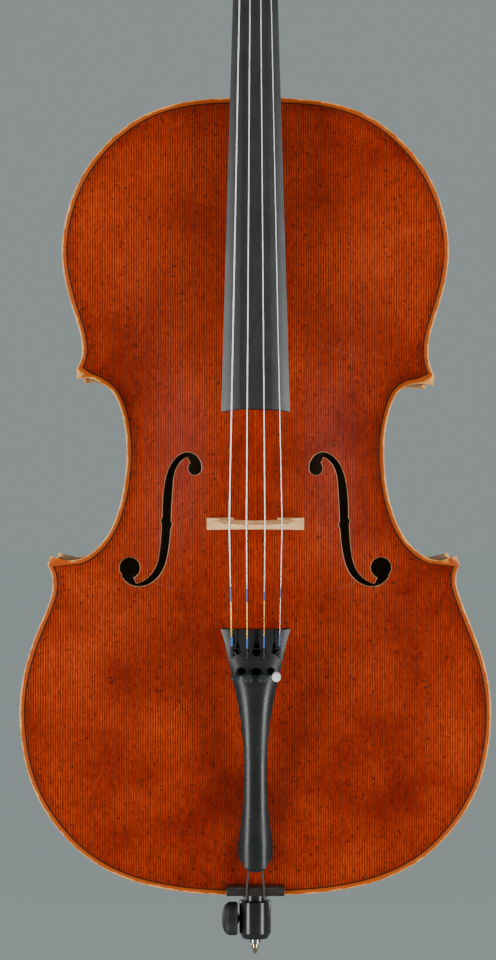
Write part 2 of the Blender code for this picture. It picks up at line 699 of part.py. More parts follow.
PEG_WIDE, PEG_TAPER = 0.0072, 0.030     # shaft radius at the head side, and its change per metre
for string in STRINGS:
    y, z = PEG_PLACE[string]
    side = PEG_SIDE[string]
    half = pegbox_half(z)
    empty = bpy.data.objects.new(f"peg_axis_{string}", None)
    place(empty, location=(0, y, z), rotation=(0, side * math.pi / 2, 0))
    turn = (0, 0, math.radians(PEG_TURN[string]))
    far, near = -half - 0.0025, half + 0.004
    narrow = PEG_WIDE - PEG_TAPER * (near - far)
    profile = [
        (0, near + 0.020), (0.0048, near + 0.020), (0.0050, near + 0.012), (0.0078, near + 0.010),
        (0.0092, near + 0.007), (0.0085, near + 0.004), (PEG_WIDE, near + 0.002), (PEG_WIDE, near),
        (narrow, far), (narrow * 0.7, far - 0.001), (0, far - 0.001),
    ]
    peg = turned(f"peg_{string}", profile, 16, EBONY, parent=empty)
    bm = bmesh.new()
    bmesh.ops.create_uvsphere(bm, u_segments=12, v_segments=7, radius=1)
    for vertex in bm.verts:
        vertex.co = Vector((vertex.co.x * 0.0155, vertex.co.y * 0.0048, vertex.co.z * 0.0165 + near + 0.030))
    head = place(from_bmesh(f"peg_head_{string}", bm), rotation=turn, parent=empty, cutter=True)
    combine(peg, head, "UNION")
    hole = cylinder(
        f"peg_hole_{string}", narrow + GAP - 0.0003, near - far + 0.02, 16, (0, 0, (near + far) / 2), (0, 0, 0),
        empty, True, PEG_WIDE + GAP + 0.0003,
    )
    combine(neck, hole)

board_rings = []
for z in (BOARD_END_Z, 0.56, 0.70, 0.81, 0.95, NUT_Z - GAP):
    half = board_half(z)
    scoop = float(np.interp(z, (0.78, 0.81), (0.0035, 0.0)))
    top, under = [], []
    for k in range(9):
        x = half * (k / 4 - 1)
        end = 0.0027 * (1 - (x / half) ** 2) if z == BOARD_END_Z else 0
        low = glue_y(z) - GAP - scoop * (1 - (x / half) ** 2)
        top.append((x, board_crown(z) + sagitta(x, BOARD_RADIUS), z + end))
        under.append((x, low, z + end))
    board_rings.append(top + under[::-1])
place(loft("fingerboard", board_rings), EBONY)

nut_y = board_crown(NUT_Z) - NUT_RISE
nut_loop = [(x, nut_y + sagitta(x, BOARD_RADIUS)) for x in np.linspace(-0.0162, 0.0162, 9)]
nut_loop += [(0.0162, glue_y(NUT_Z) - GAP), (-0.0162, glue_y(NUT_Z) - GAP)]
nut = outline_curve("nut", [nut_loop], NUT_LENGTH / 2)
place(nut, EBONY, (0, 0, NUT_Z + NUT_LENGTH / 2))

# ---- bridge ---------------------------------------------------------------------------------

BRIDGE_FOOT_Y = -0.0780         # before the feet are cut to the arching
BRIDGE_HEIGHT = BRIDGE_FOOT_Y - BRIDGE_TOP_Y
bridge_half = [(0.0205, 0.0040), (0.0205, 0.0110), (0.0235, 0.0145), (0.0245, 0.024), (0.0225, 0.036), (0.0165, 0.0475)]
bridge_half += [(0.0085, 0.0535), (0, 0.0555)]
bridge_edge = [(0.0295, BRIDGE_HEIGHT - 0.0085), (0.0315, 0.086), (0.0345, 0.0775), (0.0380, 0.0735), (0.0370, 0.0705)]
bridge_edge += [(0.0315, 0.0725), (0.0265, 0.0705), (0.0250, 0.0660), (0.0285, 0.0615), (0.0345, 0.0625)]
bridge_edge += [(0.0405, 0.0620), (0.0400, 0.0590), (0.0355, 0.0565), (0.0335, 0.0480), (0.0325, 0.0360)]
bridge_edge += [(0.0340, 0.0240), (0.0370, 0.0175), (0.0445, 0.0150), (0.0454, 0.0125), (0.0454, 0)]
crown_points = [
    (x, BRIDGE_HEIGHT - sagitta(x, BRIDGE_RADIUS)) for x in np.linspace(0.0285, -0.0285, 11)
]
bridge_loop = [(x, h) for x, h in bridge_edge[::-1]] + crown_points
bridge_loop += [(-x, h) for x, h in bridge_edge] + [(-x, h) for x, h in bridge_half]
bridge_loop += [(x, h) for x, h in bridge_half[::-1][1:]]
heart = [(0, 0.0780), (0.0045, 0.0740), (0.0100, 0.0745), (0.0115, 0.0700), (0.0075, 0.0660), (0.0020, 0.0640)]
heart_loop = heart + [(-x, h) for x, h in heart[::-1] if x > 0]
bridge = outline_curve("bridge", [bridge_loop, heart_loop], 0.006)
place(bridge, PALE_MAPLE, (0, BRIDGE_FOOT_Y, BRIDGE_Z), (math.pi, 0, 0))
bridge = as_mesh(bridge)
for vertex in bridge.data.vertices:
    share = min(max(vertex.co.y / BRIDGE_HEIGHT, 0), 1)
    vertex.co.z *= 1 - 0.72 * share
foot_fit = front_plate.copy()
foot_fit.name = "foot_fit_cutter"
foot_fit.modifiers.clear()
cutters.objects.link(foot_fit)
foot_fit.location.y -= GAP
foot_fit.hide_render = True
foot_fit.display_type = "WIRE"
combine(bridge, foot_fit)

# ---- tailpiece and fine tuners --------------------------------------------------------------

tail = bpy.data.objects.new("tailpiece_frame", None)
place(tail, location=TAIL_TOP, rotation=(TAIL_TILT, 0, 0))
tail_rings = []
for down, half, thick, radius in TAIL_SECTIONS:
    half, thick, radius = half * MM, thick * MM, radius * MM
    top, under = [], []
    for k in range(9):
        x = half * (k / 4 - 1)
        z = -down * MM
        if down == 0:
            z -= 0.0030 * (1 - (x / half) ** 2)
        top.append((x, sagitta(x, radius), z))
        under.append((x * 0.94, max(sagitta(x, radius), 0.6 * sagitta(half, radius)) + thick * 0.62, z))
    tail_rings.append(top + under[::-1])
tailpiece = place(loft("tailpiece", tail_rings), BLACK_PLASTIC, parent=tail)

axle_hole = cylinder(
    "axle_cutter", 0.0013, 0.056, 12, (0, AXLE_DEPTH, AXLE_DOWN), (0, math.pi / 2, 0), tail
)
LUG_HALF, LUG_LENGTH_HALF = 0.0009, 0.003
for index, x in enumerate((-0.02535, -0.0149, 0.0, 0.0149, 0.02535)):
    inside = sagitta(abs(x) + LUG_HALF, 0.056) + 0.0020
    lug = box(
        f"axle_lug_{index}", (x - LUG_HALF, inside, AXLE_DOWN - LUG_LENGTH_HALF),
        (x + LUG_HALF, AXLE_DEPTH + 0.0026, AXLE_DOWN + LUG_LENGTH_HALF), tail,
    )
    combine(tailpiece, lug, "UNION")
combine(tailpiece, axle_hole)
axle = cylinder(
    "tuner_axle", 0.0010, 0.0518, 12, (0, AXLE_DEPTH, AXLE_DOWN), (0, math.pi / 2, 0), tail, cutter=False
)
axle.data.materials.append(STEEL)

HOOK_TOP = -0.0030
for string in STRINGS:
    x = HOOK_X[string]
    sag = sagitta(x, 0.056)
    slot = box(
        f"slot_cutter_{string}",
        (x - LEVER_WIDTH / 2 - 0.0006, -0.02, AXLE_DOWN - 0.0062),
        (x + LEVER_WIDTH / 2 + 0.0006, 0.03, AXLE_DOWN + 0.0080), tail,
    )
    combine(tailpiece, slot)
    screw_x = TUNER_X[string]
    screw_hole = cylinder(
        f"screw_hole_cutter_{string}", 0.0016, 0.04, 12, (screw_x, 0, SCREW_DOWN), (math.pi / 2, 0, 0), tail
    )
    combine(tailpiece, screw_hole)

    # The lever: a hook that rises through its slot and an arm that lies under the screw's end
    pivot = bpy.data.objects.new(f"lever_axis_{string}", None)
    place(pivot, location=(x, AXLE_DEPTH, AXLE_DOWN), parent=tail)
    top = HOOK_TOP + sag - AXLE_DEPTH
    arm_top = LEVER_TOP - AXLE_DEPTH
    loop = [
        (top, 0.0030), (top, -0.0030), (top + 0.0040, -0.0034), (arm_top, -0.0036), (arm_top, -0.0245),
        (arm_top + 0.0028, -0.0245), (0.0028, -0.0036), (0.0028, 0.0030), (-0.0010, 0.0040),
    ]
    lever = outline_curve(f"lever_{string}", [loop], LEVER_WIDTH / 2)
    place(lever, STEEL, parent=pivot, rotation=(math.pi / 2, 0, math.pi / 2))
    lever = as_mesh(lever)
    pin = cylinder(f"lever_pin_{string}", 0.0013, 0.02, 12, (0, 0, 0), (0, math.pi / 2, 0), pivot)
    combine(lever, pin)
    # The arm leans sideways to reach its screw
    shift = screw_x - x
    for vertex in lever.data.vertices:
        if vertex.co.y < -0.01:
            vertex.co.z += shift

    surface = sagitta(screw_x, 0.047)
    knob_axis = bpy.data.objects.new(f"tuner_axis_{string}", None)
    place(knob_axis, location=(screw_x, surface, SCREW_DOWN), rotation=(math.pi / 2, 0, 0), parent=tail)
    end = -(LEVER_TOP - surface) + GAP
    turned(
        f"tuner_screw_{string}", [(0, 0.0045), (0.0012, 0.0045), (0.0012, end), (0, end)], 12, STEEL,
        parent=knob_axis,
    )
    material = WHITE_PLASTIC if string == "a" else BLACK_PLASTIC
    turned(
        f"tuner_knob_{string}",
        [
            (0, 0.0118), (0.0030, 0.0116), (0.0041, 0.0104), (0.0041, 0.0050), (0.0030, 0.0040),
            (0.0015, 0.0040), (0.0015, 0.0048), (0, 0.0048),
        ],
        14, material, parent=knob_axis,
    )

# ---- strings --------------------------------------------------------------------------------

bpy.context.view_layer.update()
tail_world = tail.matrix_world.copy()
for string in STRINGS:
    radius = STRING_RADIUS[string]
    clear = radius + GAP
    hook = tail_world @ Vector((HOOK_X[string], HOOK_TOP + sagitta(HOOK_X[string], 0.056) - clear, AXLE_DOWN - 0.001))
    bridge_x = BRIDGE_X[string]
    over_bridge = BRIDGE_TOP_Y + sagitta(bridge_x, BRIDGE_RADIUS) - clear
    nut_x = NUT_X[string]
    over_nut = nut_y + sagitta(nut_x, BOARD_RADIUS) - clear
    peg_y, peg_z = PEG_PLACE[string]
    wide = PEG_WIDE - PEG_TAPER * (pegbox_half(peg_z) + 0.004 - PEG_SIDE[string] * PEG_X[string])
    at_peg = Vector((PEG_X[string], peg_y - (wide + clear + GAP) * 0.9, peg_z - (wide + clear + GAP) * 0.62))
    route = [
        hook,
        (bridge_x, over_bridge + 0.0003, BRIDGE_Z - 0.0020),
        (bridge_x, over_bridge - 0.0001, BRIDGE_Z),
        (bridge_x, over_bridge + 0.0001, BRIDGE_Z + 0.0020),
        (nut_x, over_nut - 0.0002, NUT_Z + 0.0005),
        (nut_x, over_nut - 0.0001, NUT_Z + 0.0045),
        (nut_x, over_nut + 0.0005, NUT_Z + NUT_LENGTH + 0.0005),
        at_peg,
    ]
    wire(f"string_{string}", route, radius, STEEL)

# ---- endpin and tail wire -------------------------------------------------------------------

bore = ROD_RADIUS + GAP
collar = turned(
    "endpin_collar",
    [
        (0.0120, 0.092), (0.0130, 0.0540), (0.0145, 0.0537), (0.0145, 0.0512), (0.0110, 0.0508), (0.0110, COLLAR_TOP),
        (COLLAR_RADIUS - 0.0008, COLLAR_TOP), (COLLAR_RADIUS, COLLAR_TOP - 0.0008), (COLLAR_RADIUS, 0.0054),
        (COLLAR_FACE_RADIUS, 0), (bore, 0), (bore, 0.092),
    ],
    24, BLACK_PLASTIC, closed=True,
)
screw_hole = cylinder("thumbscrew_cutter", 0.0033, 0.02, 16, (-0.0145, 0, SCREW_Z), (0, math.pi / 2, 0))
combine(collar, screw_hole)

turned(
    "endpin_rod",
    [(0, ROD_TOP), (ROD_RADIUS - 0.001, ROD_TOP), (ROD_RADIUS, ROD_TOP - 0.001), (ROD_RADIUS, -0.0044),
     (ROD_RADIUS - 0.0005, -0.0048), (0, -0.0048)],
    16, STEEL,
)
turned(
    "endpin_tip",
    [(0, -0.0051), (0.0036, -0.0051), (0.0036, -0.0095), (0.0012, -0.0148), (0, -0.0152)],
    14, BRASS,
)
screw_axis = bpy.data.objects.new("thumbscrew_axis", None)
place(screw_axis, location=(0, 0, SCREW_Z), rotation=(0, -math.pi / 2, 0))
turned(
    "endpin_thumbscrew",
    [(0, 0.0320), (0.0080, 0.0314), (0.0132, 0.0290), (0.0160, 0.0255), (0.0160, 0.0185), (0.0148, 0.0168),
     (0.0050, 0.0168), (0.0050, 0.0157), (0.0030, 0.0157), (0.0030, bore), (0, bore)],
    20, BLACK_PLASTIC, parent=screw_axis,
)

WIRE_RADIUS = 0.0011
tail_end = [tail_world @ Vector((side * 0.0068, 0.0032, -TAIL_LENGTH + 0.0012)) for side in (-1, 1)]
for side, point in zip((-1, 1), tail_end):
    hole = cylinder(
        f"wire_hole_{side_name(side)}", WIRE_RADIUS + GAP, 0.030, 12,
        (side * 0.0068, 0.0032, -TAIL_LENGTH + 0.010), (0, 0, 0), tail,
    )
    combine(tailpiece, hole)
over_saddle = SADDLE_Y - WIRE_RADIUS - GAP
loop_z, loop_radius = 0.0440, 0.0110 + WIRE_RADIUS + GAP
half_route = [
    tail_world @ Vector((0.0068, 0.0032, -TAIL_LENGTH + 0.020)),
    tail_world @ Vector((0.0068, 0.0032, -TAIL_LENGTH - 0.004)),
    Vector((0.0080, over_saddle - 0.0004, 0.0600)),
    Vector((0.0082, over_saddle - 0.0002, 0.0545)),
    Vector((0.0084, over_saddle + 0.0006, 0.0520)),
    Vector((0.0086, -0.0728, 0.0487)),
    Vector((0.0090, -0.0690, 0.0476)),
    Vector((0.0120, -0.0300, 0.0455)),
    Vector((loop_radius + 0.0004, -0.0060, loop_z + 0.0003)),
]
route = list(half_route)
for angle in np.linspace(0, math.pi, 11):
    route.append(Vector((loop_radius * math.cos(angle), loop_radius * math.sin(angle), loop_z)))
route += [Vector((-p.x, p.y, p.z)) for p in half_route[::-1]]
wire("tail_wire", route, WIRE_RADIUS, BLACK_CORD)

for obj in cello.objects:
    if obj.type == "MESH" and obj.name != "tuner_axle":
        obj.data.shade_smooth()
        obj.data.set_sharp_from_angle(angle=math.radians(35))
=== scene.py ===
import math

import bmesh
import bpy
import numpy as np
from mathutils import Matrix, Vector
from mathutils.bvhtree import BVHTree


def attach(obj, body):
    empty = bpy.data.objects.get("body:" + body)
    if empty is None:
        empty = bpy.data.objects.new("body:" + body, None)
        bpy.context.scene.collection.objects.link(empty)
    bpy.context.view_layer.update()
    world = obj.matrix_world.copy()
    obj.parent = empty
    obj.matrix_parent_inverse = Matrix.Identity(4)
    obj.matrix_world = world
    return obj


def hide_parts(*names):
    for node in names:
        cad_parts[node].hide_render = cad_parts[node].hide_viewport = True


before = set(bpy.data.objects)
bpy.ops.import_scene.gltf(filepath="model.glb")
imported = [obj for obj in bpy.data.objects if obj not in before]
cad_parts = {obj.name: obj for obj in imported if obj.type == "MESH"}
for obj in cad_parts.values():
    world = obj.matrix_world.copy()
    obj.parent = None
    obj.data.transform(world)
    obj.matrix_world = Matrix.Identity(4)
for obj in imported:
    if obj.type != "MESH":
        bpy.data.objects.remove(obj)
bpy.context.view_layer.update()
instrument = "instrument"   # the body that everything fixed rides on
mm = 0.001
gap = 0.0003    # clearance between pieces that touch
stringNames = ("c", "g", "d", "a")
print("frame loaded")


# woods, metals and threads

def layOutNodes(nodes, groups):
    # one titled frame for each effect, its nodes side by side
    for row, (title, members) in enumerate(groups):
        box = nodes.new("NodeFrame")
        box.label = title
        for column, node in enumerate(members):
            node.parent = box
            node.location = (220 * column, -420 * row)


varnishes = {   # light and dark varnish, figure spacing in metres, direction of the figure, its sharpness
    "spruceVarnish": dict(
        light=(0.455, 0.038, 0.0034), dark=(0.17, 0.008, 0.0012), spacing=0.0023, along=(1, 0, 0), waver=5,
        profile="SAW", ramp=((0.0, 1.12), (0.40, 0.90), (0.78, 0.18), (1.0, 0.70)), source="Object", worn=True,
        fibre=(420, 420, 150), rough=0.27,
    ),
    "mapleVarnish": dict(
        light=(0.44, 0.050, 0.005), dark=(0.16, 0.014, 0.003), spacing=0.0125, along=(0.22, 0, 1), waver=4,
        profile="SIN", ramp=((0.0, 0.55), (0.45, 0.8), (0.8, 1.0), (1.0, 1.1)), source="Object", worn=True,
        fibre=(260, 260, 12), rough=0.3,
    ),
    "ribVarnish": dict(
        light=(0.38, 0.040, 0.005), dark=(0.13, 0.011, 0.003), spacing=0.011, along=(1, 0.15, 0), waver=4,
        profile="SIN", ramp=((0.0, 0.5), (0.45, 0.8), (0.8, 1.0), (1.0, 1.1)), source="UV", worn=False,
        fibre=(12, 260, 260), rough=0.3,
    ),
    "neckVarnish": dict(
        light=(0.46, 0.085, 0.013), dark=(0.20, 0.026, 0.006), spacing=0.010, along=(0.15, 0.12, 1), waver=3,
        profile="SIN", ramp=((0.0, 0.7), (0.45, 0.85), (0.8, 1.0), (1.0, 1.08)), source="Object", worn=False,
        fibre=(260, 260, 12), rough=0.32,
    ),
}
# at the plates' edge: the pale bare-wood colour is partly real wear and partly a painted highlight on the rounded edge
# bead
edgeWearAndHighlight = {
    "wood": (0.78, 0.36, 0.085), "wearAndHighlight": 1.0, "rim": (0.46, 0.085, 0.007), "purfling": 4.9, "purflingHalf": 0.75,
    "dirtTo": 15.0,
}


def varnishedWood(name, light, dark, spacing, along, waver, profile, ramp, source, worn, fibre, rough):
    material = bpy.data.materials.new(name)
    material.use_nodes = True
    nodes, links = material.node_tree.nodes, material.node_tree.links
    nodes.clear()

    output = nodes.new("ShaderNodeOutputMaterial")
    output.label = "varnished wood"
    shader = nodes.new("ShaderNodeBsdfPrincipled")
    shader.label = "varnish film"
    shader.inputs["Specular IOR Level"].default_value = 0.18

    place = nodes.new("ShaderNodeTexCoord")
    place.label = "place on the wood"
    mirror = nodes.new("ShaderNodeVectorMath")
    mirror.label = "book-matched halves"
    mirror.operation = "ABSOLUTE"
    figure = nodes.new("ShaderNodeVectorMath")
    figure.label = "across the figure"
    figure.operation = "DOT_PRODUCT"
    figure.inputs[1].default_value = along
    lean = nodes.new("ShaderNodeVectorMath")
    lean.label = "long along the fibres"
    lean.operation = "MULTIPLY"
    lean.inputs[1].default_value = (1, 1, 0.12) if source == "Object" else (0.5, 0.5, 1)
    apart = nodes.new("ShaderNodeSeparateXYZ")
    apart.label = "across and along"
    lineUp = nodes.new("ShaderNodeCombineXYZ")
    lineUp.label = "figure coordinates"
    lines = nodes.new("ShaderNodeTexWave")
    lines.label = "annual rings or flame"
    lines.wave_profile = profile
    lines.inputs["Scale"].default_value = 0.314 / spacing
    lines.inputs["Distortion"].default_value = waver
    lines.inputs["Detail"].default_value = 2
    lines.inputs["Detail Scale"].default_value = spacing * 28
    lineTone = nodes.new("ShaderNodeValToRGB")
    lineTone.label = "depth of the figure"
    for index, (at, tone) in enumerate(ramp):
        stop = lineTone.color_ramp.elements[index] if index < 2 else lineTone.color_ramp.elements.new(at)
        stop.position = at
        stop.color = (tone, tone, tone, 1)
    links.new(place.outputs[source], mirror.inputs[0])
    links.new(mirror.outputs["Vector"] if source == "Object" else place.outputs[source], figure.inputs[0])
    links.new(place.outputs[source], lean.inputs[0])
    links.new(lean.outputs["Vector"], apart.inputs[0])
    links.new(figure.outputs["Value"], lineUp.inputs["X"])
    links.new(apart.outputs["X"], lineUp.inputs["Y"])
    links.new(apart.outputs["Z"], lineUp.inputs["Z"])
    links.new(lineUp.outputs["Vector"], lines.inputs["Vector"])
    links.new(lines.outputs["Fac"], lineTone.inputs["Fac"])

    stretch = nodes.new("ShaderNodeMapping")
    stretch.label = "drawn out fibres"
    stretch.inputs["Scale"].default_value = fibre
    streaks = nodes.new("ShaderNodeTexNoise")
    streaks.label = "fibres and rays"
    streaks.inputs["Scale"].default_value = 1
    streaks.inputs["Detail"].default_value = 3
    streakTone = nodes.new("ShaderNodeMapRange")
    streakTone.label = "streak strength"
    streakTone.inputs["From Min"].default_value = 0.3
    streakTone.inputs["From Max"].default_value = 0.7
    streakTone.inputs["To Min"].default_value = 0.72
    streakTone.inputs["To Max"].default_value = 1.22
    patches = nodes.new("ShaderNodeTexNoise")
    patches.label = "uneven varnish"
    patches.inputs["Scale"].default_value = 9
    patches.inputs["Detail"].default_value = 5
    patches.inputs["Roughness"].default_value = 0.62
    patchTone = nodes.new("ShaderNodeMapRange")
    patchTone.label = "thick to thin varnish"
    patchTone.inputs["From Min"].default_value = 0.34
    patchTone.inputs["From Max"].default_value = 0.66
    blend = nodes.new("ShaderNodeMix")
    blend.label = "dark to light varnish"
    blend.data_type = "RGBA"
    blend.inputs["A"].default_value = (*dark, 1)
    blend.inputs["B"].default_value = (*light, 1)
    toned = nodes.new("ShaderNodeMix")
    toned.label = "figure under the varnish"
    toned.data_type = "RGBA"
    toned.blend_type = "MULTIPLY"
    strength = nodes.new("ShaderNodeMapRange")
    strength.label = "figure fades in places"
    strength.inputs["From Min"].default_value = 0.36
    strength.inputs["From Max"].default_value = 0.6
    strength.inputs["To Min"].default_value = 0.5
    streaked = nodes.new("ShaderNodeMix")
    streaked.label = "fibres under the varnish"
    streaked.data_type = "RGBA"
    streaked.blend_type = "MULTIPLY"
    streaked.inputs["Factor"].default_value = 1
    specks = nodes.new("ShaderNodeTexNoise")
    specks.label = "dirt in the pores"
    specks.inputs["Scale"].default_value = 330
    specks.inputs["Detail"].default_value = 2
    speckTone = nodes.new("ShaderNodeMapRange")
    speckTone.label = "few dark specks"
    speckTone.inputs["From Min"].default_value = 0.62
    speckTone.inputs["From Max"].default_value = 0.69
    speckTone.inputs["To Min"].default_value = 1
    speckTone.inputs["To Max"].default_value = 0.42
    speckled = nodes.new("ShaderNodeMix")
    speckled.label = "specks over the varnish"
    speckled.data_type = "RGBA"
    speckled.blend_type = "MULTIPLY"
    speckled.inputs["Factor"].default_value = 1
    links.new(place.outputs[source], stretch.inputs["Vector"])
    links.new(stretch.outputs["Vector"], streaks.inputs["Vector"])
    links.new(streaks.outputs["Fac"], streakTone.inputs["Value"])
    links.new(place.outputs["Object"], patches.inputs["Vector"])
    links.new(patches.outputs["Fac"], patchTone.inputs["Value"])
    links.new(patchTone.outputs["Result"], blend.inputs["Factor"])
    links.new(patches.outputs["Fac"], strength.inputs["Value"])
    links.new(strength.outputs["Result"], toned.inputs["Factor"])
    links.new(blend.outputs["Result"], toned.inputs["A"])
    links.new(lineTone.outputs["Color"], toned.inputs["B"])
    links.new(toned.outputs["Result"], streaked.inputs["A"])
    links.new(streakTone.outputs["Result"], streaked.inputs["B"])
    links.new(place.outputs["Object"], specks.inputs["Vector"])
    links.new(specks.outputs["Fac"], speckTone.inputs["Value"])
    links.new(streaked.outputs["Result"], speckled.inputs["A"])
    links.new(speckTone.outputs["Result"], speckled.inputs["B"])
    colour = speckled.outputs["Result"]
    edgeNodes = ()

    if worn:
        distance = nodes.new("ShaderNodeAttribute")
        distance.label = "millimetres from the edge"
        distance.attribute_name = "edgeDistance"
        chips = nodes.new("ShaderNodeTexNoise")
        chips.label = "nicks and rubbing"
        chips.inputs["Scale"].default_value = 60
        chips.inputs["Detail"].default_value = 6
        chips.inputs["Roughness"].default_value = 0.7
        ragged = nodes.new("ShaderNodeMath")
        ragged.label = "ragged edge of the wear"
        ragged.operation = "MULTIPLY_ADD"
        ragged.inputs[1].default_value = 6.0
        # mask of the pale band at the very edge: worn bare wood, which also serves as a painted highlight along the
        # edge bead
        wornAndHighlit = nodes.new("ShaderNodeMapRange")
        wornAndHighlit.label = "bare wood near the edge"
        wornAndHighlit.inputs["From Min"].default_value = edgeWearAndHighlight["wearAndHighlight"] + 3.6
        wornAndHighlit.inputs["From Max"].default_value = edgeWearAndHighlight["wearAndHighlight"] + 2.6
        dirt = nodes.new("ShaderNodeMapRange")
        dirt.label = "dirt in the channel"
        dirt.inputs["From Min"].default_value = edgeWearAndHighlight["purfling"]
        dirt.inputs["From Max"].default_value = edgeWearAndHighlight["dirtTo"]
        dirt.inputs["To Min"].default_value = 0.72
        dirt.inputs["To Max"].default_value = 1
        dirty = nodes.new("ShaderNodeMix")
        dirty.label = "darker channel"
        dirty.data_type = "RGBA"
        dirty.blend_type = "MULTIPLY"
        dirty.inputs["Factor"].default_value = 1
        # lays the pale colour, worn wood and painted highlight together, over the varnish at the edge
        highlitWornEdge = nodes.new("ShaderNodeMix")
        highlitWornEdge.label = "worn edge"
        highlitWornEdge.data_type = "RGBA"
        highlitWornEdge.inputs["B"].default_value = (*edgeWearAndHighlight["wood"], 1)
        outside = nodes.new("ShaderNodeMapRange")
        outside.label = "outside the purfling"
        outside.inputs["From Min"].default_value = edgeWearAndHighlight["purfling"]
        outside.inputs["From Max"].default_value = edgeWearAndHighlight["purfling"] - 0.4
        outside.inputs["To Max"].default_value = 0.65
        rim = nodes.new("ShaderNodeMix")
        rim.label = "thin varnish on the rim"
        rim.data_type = "RGBA"
        rim.inputs["B"].default_value = (*edgeWearAndHighlight["rim"], 1)
        inlay = nodes.new("ShaderNodeMath")
        inlay.label = "purfling strips"
        inlay.operation = "COMPARE"
        inlay.inputs[1].default_value = edgeWearAndHighlight["purfling"]
        inlay.inputs[2].default_value = edgeWearAndHighlight["purflingHalf"]
        inlaid = nodes.new("ShaderNodeMix")
        inlaid.label = "dyed purfling"
        inlaid.data_type = "RGBA"
        inlaid.inputs["B"].default_value = (0.060, 0.009, 0.002, 1)
        links.new(place.outputs["Object"], chips.inputs["Vector"])
        links.new(chips.outputs["Fac"], ragged.inputs[0])
        links.new(distance.outputs["Fac"], ragged.inputs[2])
        links.new(ragged.outputs["Value"], wornAndHighlit.inputs["Value"])
        links.new(distance.outputs["Fac"], dirt.inputs["Value"])
        links.new(colour, dirty.inputs["A"])
        links.new(dirt.outputs["Result"], dirty.inputs["B"])
        links.new(wornAndHighlit.outputs["Result"], highlitWornEdge.inputs["Factor"])
        links.new(distance.outputs["Fac"], outside.inputs["Value"])
        links.new(outside.outputs["Result"], rim.inputs["Factor"])
        links.new(dirty.outputs["Result"], rim.inputs["A"])
        links.new(rim.outputs["Result"], highlitWornEdge.inputs["A"])
        links.new(distance.outputs["Fac"], inlay.inputs[0])
        links.new(inlay.outputs["Value"], inlaid.inputs["Factor"])
        links.new(highlitWornEdge.outputs["Result"], inlaid.inputs["A"])
        colour = inlaid.outputs["Result"]
        edgeNodes = (distance, chips, ragged, wornAndHighlit, dirt, dirty, outside, rim, highlitWornEdge, inlay, inlaid)

    gloss = nodes.new("ShaderNodeMapRange")
    gloss.label = "gloss in patches"
    gloss.inputs["To Min"].default_value = rough - 0.08
    gloss.inputs["To Max"].default_value = rough + 0.12
    relief = nodes.new("ShaderNodeBump")
    relief.label = "corduroy of the figure"
    relief.inputs["Strength"].default_value = 0.35
    relief.inputs["Distance"].default_value = 0.0002
    ripple = nodes.new("ShaderNodeBump")
    ripple.label = "soft unevenness"
    ripple.inputs["Strength"].default_value = 0.25
    ripple.inputs["Distance"].default_value = 0.0015
    links.new(patches.outputs["Fac"], gloss.inputs["Value"])
    links.new(patches.outputs["Fac"], ripple.inputs["Height"])
    links.new(lineTone.outputs["Color"], relief.inputs["Height"])
    links.new(ripple.outputs["Normal"], relief.inputs["Normal"])
    links.new(colour, shader.inputs["Base Color"])
    links.new(gloss.outputs["Result"], shader.inputs["Roughness"])
    links.new(relief.outputs["Normal"], shader.inputs["Normal"])
    links.new(shader.outputs["BSDF"], output.inputs["Surface"])
    layOutNodes(nodes, (
        ("figure of the wood", (place, mirror, figure, lean, apart, lineUp, lines, lineTone)),
        ("varnish colour", (stretch, streaks, streakTone, patches, patchTone, blend, strength, toned, streaked)),
        ("specks", (specks, speckTone, speckled)),
        ("worn edge and purfling", edgeNodes),
        ("surface", (gloss, ripple, relief, shader, output)),
    ))
    return material


plainWoods = {  # dark and light of the streaks, stretch of the streaks, roughness
    "boardEbony": dict(dark=(0.014, 0.0138, 0.014), light=(0.034, 0.034, 0.035), stretch=(420, 420, 9), rough=0.36),
    "pegEbony": dict(dark=(0.012, 0.009, 0.008), light=(0.040, 0.028, 0.022), stretch=(60, 420, 420), rough=0.24),
    "bridgeMaple": dict(dark=(0.74, 0.38, 0.14), light=(1.0, 0.69, 0.32), stretch=(90, 900, 900), rough=0.5),
    "soundholeRim": dict(dark=(0.42, 0.22, 0.10), light=(0.74, 0.50, 0.28), stretch=(300, 300, 30), rough=0.7),
    "insideSpruce": dict(dark=(0.50, 0.34, 0.19), light=(0.74, 0.56, 0.35), stretch=(400, 400, 12), rough=0.75),
    "insidePlate": dict(dark=(0.30, 0.19, 0.10), light=(0.48, 0.33, 0.19), stretch=(400, 400, 10), rough=0.8),
}


